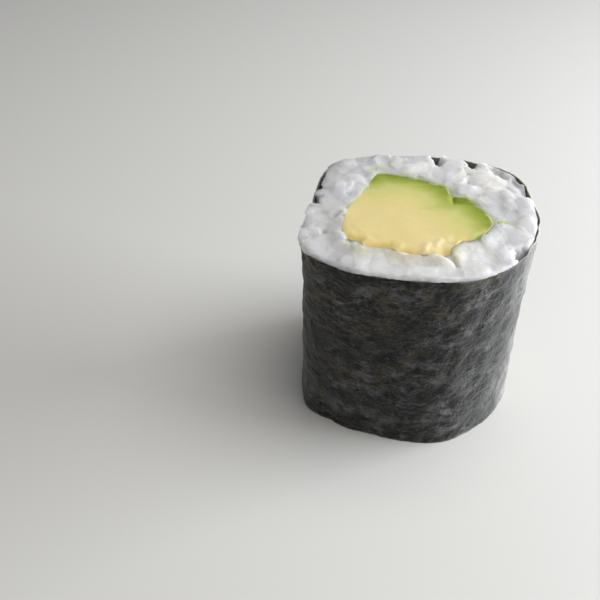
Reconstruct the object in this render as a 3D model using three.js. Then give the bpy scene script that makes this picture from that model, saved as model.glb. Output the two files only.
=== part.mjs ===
// One piece of avocado maki: a short length cut from a hand-rolled sushi roll, standing on a cut face.
// A sheet of nori is wound once round a ring of cooked rice and laps over itself at the back, and a
// wedge of avocado runs through the rice from one cut face to the other.
// Millimetres, +Z up. The origin is the middle of the lower cut face. +X is the wide way of the roll.
import * as THREE from "three";
import { mergeVertices } from "three/addons/utils/BufferGeometryUtils.js";

// Driving sizes of the roll.
const ROLL_HEIGHT = 27.4; // from one knife cut to the next
const NORI_THICKNESS = 0.24;
const NORI_LAP_DEGREES = 52; // how far the sheet's outer end laps over its inner end
const LAP_RAMP_DEGREES = 9; // the stretch over which the outer layer climbs onto the inner one
const SEAM_DEGREES = 84; // where the inner end lies, on the far side
const CLEARANCE = 0.06; // between two neighbours that touch
const WAIST = 0.3; // how much slimmer the roll is at half its height than at its cut faces

// The roll's outside, hand-pressed into a soft square: [angle, radius at the base, radius at the top].
const ROLL_KNOTS = [
  [0, 14.4, 14.5],
  [33, 15.0, 15.8],
  [62, 14.0, 13.8],
  [90, 13.3, 12.9],
  [132, 14.5, 14.9],
  [148, 14.0, 13.7],
  [163, 13.4, 13.1],
  [176, 13.4, 13.1],
  [188, 14.1, 13.9],
  [209, 15.1, 15.9],
  [230, 13.7, 14.4],
  [251, 13.1, 13.1],
  [270, 13.5, 12.9],
  [290, 14.1, 13.5],
  [315, 14.2, 14.1],
  [340, 14.7, 14.3],
];

// The wedge of avocado seen from above: its skin side runs from the far corner down to the right
// corner with a nick in it, and its two knife sides meet at the left tip.
const AVOCADO_KNOTS = [
  [-9.3, -5.3],
  [-9.2, -2.6],
  [-8.3, 0.8],
  [-7.2, 2.7],
  [-5.4, 6.2],
  [-4.4, 8.4],
  [-2.0, 7.9],
  [0.6, 7.0],
  [2.5, 6.1],
  [4.2, 4.9],
  [4.4, 3.7],
  [5.0, 2.9],
  [6.3, 2.5],
  [7.5, 0.4],
  [8.1, -1.2],
  [8.6, -2.6],
  [8.2, -3.7],
  [7.1, -5.4],
  [6.3, -6.4],
  [4.9, -6.6],
  [3.6, -7.0],
  [3.1, -9.1],
  [0.4, -9.2],
  [-2.9, -9.2],
  [-4.2, -8.1],
  [-6.9, -8.0],
  [-7.4, -6.8],
  [-9.0, -6.2],
];

// The two ends of the roll.
const RIM_DROP = 0.4; // how far the nori's edge lies below the knife cut
const RIM_TILT = 0.24; // its edge stands up at the far right and dips at the near left
const RIM_HIGH_DEGREES = 48; // where it stands highest
const RIM_WAVE = 0.16;
const RICE_TILT = 0.1; // the rice is the other way about: proud of the nori on the left
const RICE_DOME = 0.75; // height of a grain's end above the dips between grains
const RICE_PITCH = 3.0; // spacing of the grain ends on a cut face
const KNIFE_LEVEL = 0.75; // the share of a grain end's height that lies below the knife cut
const AVOCADO_DROP = 0.1; // how far the avocado's cut face lies below the rice's at the back
const AVOCADO_RISE = 0.6; // how much higher it stands at the front, where the blade has dragged it
const AVOCADO_RISE_FROM = 6; // how far behind the axis that rise starts
const AVOCADO_RISE_TO = -8; // and where it ends, in front of the axis

// The side: low waves where the rice presses into the wet sheet,
// each [turns round the roll, radians for each millimetre of height, phase].
const WALL_RELIEF = 0.16;
const WALL_WAVES = [
  [5, 0.31, 0.4],
  [9, -0.44, 2.1],
  [13, 0.62, 4.4],
  [17, 0.27, 1.3],
];

// Steps of the meshes.
const COLUMNS = 96; // round the roll
const LEVELS = 7; // up the side
const RINGS = 6; // from the avocado out to the nori on a cut face
const FACE_RINGS = 4; // from the avocado's edge in to its middle
const OUTLINE_STEPS = 1440;

const TURN = 2 * Math.PI;
const radians = (degrees) => THREE.MathUtils.degToRad(degrees);
const wrap = (angle) => ((angle % TURN) + TURN) % TURN;
const mix = THREE.MathUtils.lerp;

// The radius at any angle of the smooth closed curve through some points round the axis.
function radiusOf(points) {
  const curve = new THREE.CatmullRomCurve3(
    points.map(([x, y]) => new THREE.Vector3(x, y, 0)),
    true,
    "centripetal",
  );
  const samples = curve
    .getPoints(OUTLINE_STEPS)
    .slice(0, OUTLINE_STEPS)
    .map((p) => ({ angle: wrap(Math.atan2(p.y, p.x)), radius: Math.hypot(p.x, p.y) }))
    .sort((a, b) => a.angle - b.angle);
  return (angle) => {
    const here = wrap(angle);
    const after = Math.max(samples.findIndex((s) => s.angle > here), 0);
    const [low, high] = [samples.at(after - 1), samples[after]];
    const share = wrap(here - low.angle) / (wrap(high.angle - low.angle) || 1);
    return mix(low.radius, high.radius, share);
  };
}

function polar([degrees, radius]) {
  const angle = radians(degrees);
  return [radius * Math.cos(angle), radius * Math.sin(angle)];
}

const baseRadius = radiusOf(ROLL_KNOTS.map(([angle, base]) => polar([angle, base])));
const topRadius = radiusOf(ROLL_KNOTS.map(([angle, , top]) => polar([angle, top])));
const avocadoRadius = radiusOf(AVOCADO_KNOTS);

// The nori's outer face where it lies straight on the rice, at an angle and a height.
function rollRadius(angle, z) {
  const up = THREE.MathUtils.clamp(z / ROLL_HEIGHT, 0, 1);
  const waves = WALL_WAVES.map(([turns, rate, phase]) => Math.sin(turns * angle + rate * z + phase));
  const relief = waves.reduce((sum, wave) => sum + wave, 0) / waves.length;
  const pressed = WAIST * Math.sin(Math.PI * up);
  return mix(baseRadius(angle), topRadius(angle), up) - pressed + WALL_RELIEF * relief;
}

// Height of the nori's upper edge.
function rimHeight(angle) {
  const wave = Math.sin(4 * angle + 0.7) + Math.sin(9 * angle + 2.0);
  const tilt = RIM_TILT * Math.cos(angle - radians(RIM_HIGH_DEGREES));
  return ROLL_HEIGHT - RIM_DROP + tilt + (RIM_WAVE * wave) / 2;
}

// A fixed number between 0 and 1 for each cell of a grid.
function scatter(i, j, salt) {
  const value = Math.sin(i * 127.1 + j * 311.7 + salt * 74.7) * 43758.5453;
  return value - Math.floor(value);
}

// Rounded grain ends on a cut face: 1 on top of a grain, and 0 in the dips.
function grainDomes(x, y) {
  const column = Math.floor(x / RICE_PITCH);
  const row = Math.floor(y / RICE_PITCH);
  let best = 0;
  for (let i = column - 1; i <= column + 1; i++) {
    for (let j = row - 1; j <= row + 1; j++) {
      const dx = (i + 0.2 + 0.6 * scatter(i, j, 1)) * RICE_PITCH - x;
      const dy = (j + 0.2 + 0.6 * scatter(i, j, 2)) * RICE_PITCH - y;
      best = Math.max(best, 1 - (dx * dx + dy * dy) / (0.8 * RICE_PITCH) ** 2);
    }
  }
  return best;
}

// Height of the upper cut face of the rice.
function riceHeight(x, y) {
  const tilt = (-RICE_TILT * x) / ROLL_KNOTS[0][2];
  return ROLL_HEIGHT + tilt + RICE_DOME * (grainDomes(x, y) - KNIFE_LEVEL);
}

// Height of the upper cut face of the avocado.
function avocadoHeight(y) {
  const forward = THREE.MathUtils.smoothstep(-y, -AVOCADO_RISE_FROM, -AVOCADO_RISE_TO);
  return ROLL_HEIGHT - AVOCADO_DROP + AVOCADO_RISE * forward;
}

const at = (angle, radius, z) => new THREE.Vector3(radius * Math.cos(angle), radius * Math.sin(angle), z);
const steps = (count) => Array.from({ length: count + 1 }, (_, i) => i / count);
const roundTheRoll = Array.from({ length: COLUMNS }, (_, i) => (i / COLUMNS) * TURN);

// A closed mesh through rows of points. Neighbouring rows are joined all the way round; the last row
// joins the first where closed is set, and otherwise the rows' own two halves face each other and
// are zipped shut at both ends.
function loft(rows, closed) {
  const length = rows[0].length;
  const positions = rows.flat().flatMap((p) => [p.x, p.y, p.z]);
  const triangles = [];
  const quad = (a, b, c, d) => triangles.push([a, b, c], [a, c, d]);
  const rowCount = closed ? rows.length : rows.length - 1;
  for (let r = 0; r < rowCount; r++) {
    const next = (r + 1) % rows.length;
    for (let k = 0; k < length; k++) {
      const k2 = (k + 1) % length;
      quad(r * length + k, r * length + k2, next * length + k2, next * length + k);
    }
  }
  if (!closed) {
    for (const [row, turned] of [[0, true], [rows.length - 1, false]]) {
      for (let k = 0; k < length / 2 - 1; k++) {
        const corners = [k, k + 1, length - 2 - k, length - 1 - k].map((i) => row * length + i);
        quad(...(turned ? corners.reverse() : corners));
      }
    }
  }
  const raw = new THREE.BufferGeometry();
  raw.setAttribute("position", new THREE.Float32BufferAttribute(positions, 3));
  raw.setIndex(triangles.flat());
  const merged = mergeVertices(raw, 1e-4);
  const index = merged.index.array;
  const kept = [];
  for (let i = 0; i < index.length; i += 3) {
    const [a, b, c] = index.slice(i, i + 3);
    if (a !== b && b !== c && c !== a) kept.push(a, b, c);
  }
  merged.setIndex(kept);
  merged.computeVertexNormals();
  return merged;
}

function named(name, geometry, colour, roughness) {
  const material = new THREE.MeshStandardMaterial({ color: colour, roughness, metalness: 0 });
  const mesh = new THREE.Mesh(geometry, material);
  mesh.name = name;
  return mesh;
}

// How far the sheet has climbed off the rice onto its own inner end, from 0 to 1.
function lapClimb(travelled) {
  const start = TURN - radians(LAP_RAMP_DEGREES);
  return THREE.MathUtils.smoothstep(travelled, start, TURN - radians(1));
}

// The nori: one sheet, wound from its inner end at the seam through a full turn and the lap.
function nori() {
  const whole = TURN + radians(NORI_LAP_DEGREES);
  const columns = Math.round((COLUMNS * whole) / TURN);
  const rows = steps(columns).map((share) => {
    const travelled = share * whole;
    const angle = radians(SEAM_DEGREES) + travelled;
    const lift = lapClimb(travelled) * (NORI_THICKNESS + CLEARANCE);
    const column = (inset) =>
      steps(LEVELS).map((up) => {
        const z = up * rimHeight(angle);
        return at(angle, rollRadius(angle, z) + lift - inset, z);
      });
    return [...column(NORI_THICKNESS), ...column(0).reverse()];
  });
  return named("nori_wrap", loft(rows, false), 0x23261f, 0.45);
}

// The rice: a ring from the nori in to the avocado, flat below and lumpy with grain ends above.
function rice() {
  const inset = NORI_THICKNESS + CLEARANCE;
  const outer = (angle, z) => rollRadius(angle, z) - inset;
  const inner = (angle) => avocadoRadius(angle) + CLEARANCE;
  const edgeTop = (angle, radius) => riceHeight(radius * Math.cos(angle), radius * Math.sin(angle));
  const rows = roundTheRoll.map((angle) => {
    const rimZ = edgeTop(angle, outer(angle, ROLL_HEIGHT));
    const wall = steps(LEVELS).map((up) => at(angle, outer(angle, up * rimZ), up * rimZ));
    const face = steps(RINGS).slice(1).map((share) => {
      const radius = mix(outer(angle, rimZ), inner(angle), share);
      return at(angle, radius, edgeTop(angle, radius));
    });
    return [...wall, ...face, at(angle, inner(angle), 0)];
  });
  return named("rice_ring", loft(rows.map((row) => row.reverse()), true), 0xe4e5e4, 0.4);
}

// The avocado: the wedge, flat below, with its upper cut face a little higher at the front.
function avocado() {
  const ring = (share, height) =>
    roundTheRoll.map((angle) => {
      const radius = avocadoRadius(angle) * share;
      return at(angle, radius, height(radius * Math.sin(angle)));
    });
  const lower = [ring(0, () => 0), ring(1, () => 0)];
  const upper = steps(FACE_RINGS).map((share) => ring(1 - share, avocadoHeight));
  return named("avocado_wedge", loft([...lower, ...upper], false), 0xdccb82, 0.5);
}

const maki = new THREE.Group();
maki.add(nori(), rice(), avocado());

export default maki;
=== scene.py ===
"""One piece of avocado maki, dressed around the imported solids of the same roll.

The frame gives the outline of the rolled sheet, the ring of rice and the wedge of avocado. This file
makes what a plain solid can't show: grains of rice pressed together and cut by the knife, a wet sheet
of nori that takes the shape of the grains beneath it, and soft avocado dragged by the blade.

Shapes are worked out in millimetres, in the frame's own directions, and put into metres last.
"""

import logging
import math
from dataclasses import dataclass, field, fields
from enum import Enum
from typing import Callable, Sequence

import bpy
import numpy as np
from bpy.types import ID, Material, Mesh, NodeSocket, NodeTree, Object
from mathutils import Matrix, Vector, noise
from mathutils.bvhtree import BVHTree
from mathutils.kdtree import KDTree


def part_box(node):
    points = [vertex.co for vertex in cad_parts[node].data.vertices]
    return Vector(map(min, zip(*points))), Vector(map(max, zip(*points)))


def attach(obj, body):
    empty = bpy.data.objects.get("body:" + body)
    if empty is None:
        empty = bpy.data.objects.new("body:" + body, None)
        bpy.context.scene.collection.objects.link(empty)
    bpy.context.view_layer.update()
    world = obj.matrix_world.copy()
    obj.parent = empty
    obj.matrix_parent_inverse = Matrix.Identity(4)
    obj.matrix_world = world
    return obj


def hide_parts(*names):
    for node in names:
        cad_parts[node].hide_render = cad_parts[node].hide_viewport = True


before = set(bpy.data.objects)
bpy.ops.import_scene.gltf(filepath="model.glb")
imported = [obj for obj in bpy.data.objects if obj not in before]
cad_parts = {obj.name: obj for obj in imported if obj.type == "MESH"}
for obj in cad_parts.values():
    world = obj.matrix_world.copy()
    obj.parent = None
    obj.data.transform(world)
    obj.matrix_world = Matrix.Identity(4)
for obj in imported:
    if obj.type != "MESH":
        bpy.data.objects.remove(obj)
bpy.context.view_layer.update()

LOG = logging.getLogger("maki")
BODY = "root"
METRES = 0.001  # metres in a millimetre
TURN = 2 * math.pi
SEED = 11

Number = float | np.ndarray


class Node(str, Enum):
    """The solids of the frame."""

    NORI = "nori_wrap"
    RICE = "rice_ring"
    AVOCADO = "avocado_wedge"


class Slot(str, Enum):
    """The finishes that the record names."""

    NORI = "nori"
    RICE = "rice"
    AVOCADO = "avocado"


# ---------------- numbers and meshes


def smooth(value: Number, low: float, high: float) -> Number:
    """How far a value has come from low to high, from 0 to 1, eased at both ends."""
    share = np.clip((value - low) / (high - low), 0, 1)
    return share * share * (3 - 2 * share)


def bump(distance: Number, width: float) -> Number:
    """A bell of height 1 at distance 0 that falls away over a width."""
    return np.exp(-((distance / width) ** 2))


def field_noise(points: np.ndarray, size: float, salt: float = 0.0, octaves: int = 2) -> np.ndarray:
    """Soft noise from about -1 to 1 at each point, in lumps of a size. The salt moves the pattern."""
    places = points / size + salt
    return np.array([noise.fractal(Vector(p), 1.0, 2.1, octaves) for p in places])


def linear(code: str) -> tuple[float, float, float]:
    """A colour written as six hex digits, as linear red, green and blue."""
    parts = [int(code[i : i + 2], 16) / 255 for i in (0, 2, 4)]
    return tuple(c / 12.92 if c <= 0.04045 else ((c + 0.055) / 1.055) ** 2.4 for c in parts)


def rows_of(
    items: bpy.types.bpy_prop_collection, key: str, width: int, kind: type = np.float32
) -> np.ndarray:
    """One property of all the vertices, edges or corners of a mesh.

    Args:
        items: The vertices, edges or corners.
        key: The property.
        width: How many numbers go into a row.
        kind: The kind of number that the mesh keeps.

    Returns:
        The numbers in rows.
    """
    flat = np.empty(len(items) * width, kind)
    items.foreach_get(key, flat)
    return flat.reshape(-1, width)


def mesh_points(mesh: Mesh) -> np.ndarray:
    """The vertices of a mesh, as rows of x, y, z."""
    return rows_of(mesh.vertices, "co", 3).astype(float)


def set_points(mesh: Mesh, points: np.ndarray) -> None:
    """Moves the vertices of a mesh."""
    mesh.vertices.foreach_set("co", points.astype(np.float32).ravel())
    mesh.update()


def mesh_normals(mesh: Mesh) -> np.ndarray:
    """The vertex normals of a mesh, as rows of x, y, z."""
    return rows_of(mesh.vertex_normals, "vector", 3).astype(float)


def mesh_edges(mesh: Mesh) -> np.ndarray:
    """The edges of a mesh, as rows of two vertex numbers."""
    return rows_of(mesh.edges, "vertices", 2, np.int32)


def around(points: np.ndarray) -> tuple[np.ndarray, np.ndarray]:
    """The angles of some points and their distances from the axis."""
    return np.arctan2(points[:, 1], points[:, 0]), np.hypot(points[:, 0], points[:, 1])


def flattened(points: np.ndarray, share: float = 0.0) -> np.ndarray:
    """Points with a share of their height, so that noise changes little or not at all with it."""
    return points * (1.0, 1.0, share)


def polar(angle: Number, radius: Number, z: Number) -> np.ndarray:
    """Points from their angle, distance from the axis and height."""
    return np.stack(np.broadcast_arrays(radius * np.cos(angle), radius * np.sin(angle), z), axis=-1)


def carry(mesh: Mesh, **columns: np.ndarray) -> None:
    """Stores numbers or vectors on the vertices of a mesh.

    Args:
        mesh: The mesh.
        columns: One number or one row of three for each vertex, by the name that a finish or tree reads.
    """
    for name, values in columns.items():
        kind, key = ("FLOAT", "value") if values.ndim == 1 else ("FLOAT_VECTOR", "vector")
        attribute = mesh.attributes.new(name, kind, "POINT")
        attribute.data.foreach_set(key, values.astype(np.float32).ravel())


def finished(mesh: Mesh, points: np.ndarray, finish: Material | None = None) -> Mesh:
    """Makes a mesh ready to be shown: smooth, and in metres.

    Args:
        mesh: The mesh.
        points: Where its vertices go, in millimetres.
        finish: Its material, unless it has one already.

    Returns:
        The same mesh.
    """
    set_points(mesh, points * METRES)
    mesh.shade_smooth()
    if finish:
        mesh.materials.append(finish)
    return mesh


def mesh_of(name: str, points: Sequence, faces: Sequence = ()) -> Mesh:
    """A new mesh.

    Args:
        name: Its name.
        points: Where its vertices lie.
        faces: The numbers of the vertices of each face.

    Returns:
        The mesh.
    """
    mesh = bpy.data.meshes.new(name)
    mesh.from_pydata(points, [], faces)
    mesh.update()
    return mesh


def object_of(name: str, data: ID) -> Object:
    """A new object in the scene.

    Args:
        name: Its name.
        data: The mesh, curve, lamp or camera that it holds.

    Returns:
        The object.
    """
    made = bpy.data.objects.new(name, data)
    bpy.context.scene.collection.objects.link(made)
    return made


def even_out(points: np.ndarray, edges: np.ndarray, times: int, share: float = 0.5) -> np.ndarray:
    """Moves every point towards the middle of its neighbours.

    Args:
        points: Rows of x, y, z.
        edges: Rows of two point numbers.
        times: How often this is done.
        share: How far of the way a point moves each time.

    Returns:
        The moved points.
    """
    count = len(points)
    degree = np.maximum(np.bincount(edges.ravel(), minlength=count), 1)[:, None]
    first, second = edges[:, 0], edges[:, 1]
    for _ in range(times):
        total = np.empty_like(points)
        for k, column in enumerate(points.T):
            total[:, k] = np.bincount(first, column[second], count)
            total[:, k] += np.bincount(second, column[first], count)
        points = points + share * (total / degree - points)
    return points


def lofted(name: str, rows: Sequence[np.ndarray], poles: bool, ring: bool = False) -> Mesh:
    """A closed mesh through rings of points that run round the axis.

    Args:
        name: Name of the mesh.
        rows: Rings of equal length, each an array of x, y, z, that follow the surface from one to the
            next with the outside on the right of that way.
        poles: Whether the first and last rings close onto a point in their middle.
        ring: Whether the last ring joins the first.

    Returns:
        The mesh, with its faces pointing out.
    """
    count, length = len(rows), len(rows[0])
    points = [tuple(p) for row in rows for p in row]
    faces = []
    for r in range(count if ring else count - 1):
        below, above = r * length, (r + 1) % count * length
        for k in range(length):
            n = (k + 1) % length
            faces.append((below + k, below + n, above + n, above + k))
    if poles:
        for row, low in ((0, True), (count - 1, False)):
            middle = len(points)
            points.append(tuple(np.mean(rows[row], axis=0)))
            for k in range(length):
                pair = (row * length + k, row * length + (k + 1) % length)
                faces.append((pair[1], pair[0], middle) if low else (*pair, middle))
    return mesh_of(name, points, faces)


def evaluated(holder: Object) -> Mesh:
    """The plain mesh that an object's modifiers make. The modifiers and the object are removed.

    Args:
        holder: The object.

    Returns:
        A mesh of its own.
    """
    depsgraph = bpy.context.evaluated_depsgraph_get()
    shape = holder.evaluated_get(depsgraph)
    mesh = bpy.data.meshes.new_from_object(shape, preserve_all_data_layers=True, depsgraph=depsgraph)
    holder.modifiers.clear()
    bpy.data.objects.remove(holder)
    return mesh


def joined(name: str, meshes: Sequence[Mesh]) -> Mesh:
    """One mesh that holds the points and faces of several.

    Args:
        name: Name of the new mesh.
        meshes: The meshes.

    Returns:
        A new mesh.
    """
    points, faces = [], []
    for mesh in meshes:
        start = len(points)
        points.extend(tuple(v.co) for v in mesh.vertices)
        faces.extend(tuple(start + i for i in p.vertices) for p in mesh.polygons)
    return mesh_of(name, points, faces)


def fused(mesh: Mesh, pitch: float) -> Mesh:
    """One skin around a mesh of overlapping closed shapes.

    Args:
        mesh: The shapes, in millimetres.
        pitch: Width of the new faces in millimetres.

    Returns:
        A new closed mesh, without the hollows that the shapes shut in.
    """
    holder = object_of("loose", mesh)
    remesh = holder.modifiers.new("skin", "REMESH")
    remesh.mode = "VOXEL"
    remesh.voxel_size = pitch
    return largest_part(evaluated(holder))


def largest_part(mesh: Mesh) -> Mesh:
    """The same mesh without the parts that hang on nothing, such as the walls of shut-in hollows.

    Args:
        mesh: A mesh of faces with four corners.

    Returns:
        A new mesh.
    """
    edges = mesh_edges(mesh)
    label = np.arange(len(mesh.vertices))
    while True:
        lowest = np.minimum(label[edges[:, 0]], label[edges[:, 1]])
        new = label.copy()
        np.minimum.at(new, edges[:, 0], lowest)
        np.minimum.at(new, edges[:, 1], lowest)
        new = new[new]
        if np.array_equal(new, label):
            break
        label = new
    keep = label == np.bincount(label).argmax()
    number = np.cumsum(keep) - 1
    quads = rows_of(mesh.loops, "vertex_index", 1, np.int32).reshape(-1, 4)
    quads = number[quads[keep[quads[:, 0]]]]
    return mesh_of(mesh.name, mesh_points(mesh)[keep].tolist(), quads.tolist())


# ---------------- node trees as expressions


def operator(operation: str, swapped: bool = False) -> Callable[["Wire", "Term"], "Wire"]:
    """A method that lets a wire take part in a sum.

    Args:
        operation: What the Math node does.
        swapped: Whether the wire comes second.

    Returns:
        The method, which adds the node.
    """

    def apply(wire: "Wire", other: "Term") -> "Wire":
        """Adds the node."""
        return wire.graph.math(operation, *((other, wire) if swapped else (wire, other)))

    return apply


@dataclass(frozen=True)
class Wire:
    """One output of a node. A sum on it adds Math nodes to the same tree."""

    graph: "Graph"
    socket: NodeSocket

    __add__ = __radd__ = operator("ADD")
    __sub__ = operator("SUBTRACT")
    __rsub__ = operator("SUBTRACT", swapped=True)
    __mul__ = __rmul__ = operator("MULTIPLY")
    __truediv__ = operator("DIVIDE")
    __rtruediv__ = operator("DIVIDE", swapped=True)
    __pow__ = operator("POWER")

    def out(self, key: str) -> "Wire":
        """Another output of the same node."""
        return Wire(self.graph, Graph.find(self.socket.node.outputs, key))


Term = Wire | float | int | bool | str | tuple | ID


class Graph:
    """A node tree that is written as expressions."""

    def __init__(self, tree: NodeTree) -> None:
        """Takes the tree that the nodes go into."""
        self.tree = tree

    @staticmethod
    def find(sockets: bpy.types.bpy_prop_collection, key: str | int) -> NodeSocket:
        """A socket by its place, its identifier or its name.

        Args:
            sockets: A node's inputs or outputs.
            key: Which of them.

        Returns:
            The socket.
        """
        if isinstance(key, int):
            return sockets[key]
        return next((s for s in sockets if s.identifier == key), None) or sockets[key]

    def feed(self, socket: NodeSocket, value: Term) -> None:
        """Links a wire into a socket, or sets the socket's own value.

        Args:
            socket: The socket.
            value: What goes into it.
        """
        if isinstance(value, Wire):
            self.tree.links.new(value.socket, socket)
        elif socket.type == "RGBA" and len(value) == 3:
            socket.default_value = (*value, 1.0)
        else:
            socket.default_value = value

    def add(
        self,
        kind: str,
        settings: dict | None = None,
        inputs: dict | None = None,
        output: str | int = 0,
    ) -> Wire:
        """Adds one node.

        Args:
            kind: The node's type.
            settings: Its properties, which are set first. "stops" are a ramp's places and colours.
            inputs: A value or a wire for each socket, by place, identifier or name.
            output: Which output is wanted.

        Returns:
            That output.
        """
        node = self.tree.nodes.new(kind)
        for name, value in (settings or {}).items():
            if name == "stops":
                ramp = node.color_ramp.elements
                for place, colour in value[2:]:
                    ramp.new(place)
                for stop, (place, colour) in zip(ramp, value):
                    stop.position = place
                    stop.color = (*colour, 1.0)
            else:
                setattr(node, name, value)
        for key, value in (inputs or {}).items():
            self.feed(self.find(node.inputs, key), value)
        return Wire(self, self.find(node.outputs, output))

    def math(self, operation: str, *values: Term) -> Wire:
        """A Math node on one to three values."""
        return self.add("ShaderNodeMath", {"operation": operation}, dict(enumerate(values)))

    def vector(self, operation: str, *values: Term) -> Wire:
        """A Vector Math node on one to three vectors."""
        return self.add("ShaderNodeVectorMath", {"operation": operation}, dict(enumerate(values)))

    def scaled(self, vector: Term, factor: Term) -> Wire:
        """A vector made longer by a factor."""
        return self.add("ShaderNodeVectorMath", {"operation": "SCALE"}, {0: vector, "Scale": factor})

    def combined(self, x: Term, y: Term, z: Term) -> Wire:
        """A vector from its three parts."""
        return self.add("ShaderNodeCombineXYZ", None, {0: x, 1: y, 2: z})

    def parts(self, vector: Wire) -> tuple[Wire, Wire, Wire]:
        """The three parts of a vector."""
        split = self.add("ShaderNodeSeparateXYZ", None, {0: vector})
        return split, split.out("Y"), split.out("Z")

    def blend(self, factor: Term, first: Term, second: Term) -> Wire:
        """A colour between two colours."""
        inputs = {"Factor_Float": factor, "A_Color": first, "B_Color": second}
        return self.add("ShaderNodeMix", {"data_type": "RGBA"}, inputs, "Result_Color")

    def coated(self, colour: Term, *coats: tuple[Term, str]) -> Term:
        """A colour with others laid over it, each by how much it covers and its hex code.

        Args:
            colour: What lies beneath.
            coats: How much of it each coat covers, and the coat's hex code.

        Returns:
            The mixed colour.
        """
        for cover, code in coats:
            colour = self.blend(cover, colour, linear(code))
        return colour

    def step(self, value: Term, low: float, high: float) -> Wire:
        """How far a value has come from low to high, from 0 to 1, eased at both ends."""
        inputs = {"Value": value, "From Min": low, "From Max": high}
        return self.add("ShaderNodeMapRange", {"interpolation_type": "SMOOTHSTEP"}, inputs)

    def cloud(
        self, place: Term, size: Term, detail: float = 3.0, roughness: float = 0.5, twist: float = 0.0
    ) -> Wire:
        """Noise from 0 to 1.

        Args:
            place: Where it is read, in millimetres.
            size: Width of one lump in millimetres.
            detail: How many finer layers it has.
            roughness: How strong those are.
            twist: How far the pattern is drawn about.

        Returns:
            The noise's value.
        """
        inputs = {
            "Vector": place,
            "Scale": 1 / size,
            "Detail": detail,
            "Roughness": roughness,
            "Distortion": twist,
        }
        return self.add("ShaderNodeTexNoise", None, inputs, 0)


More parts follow.
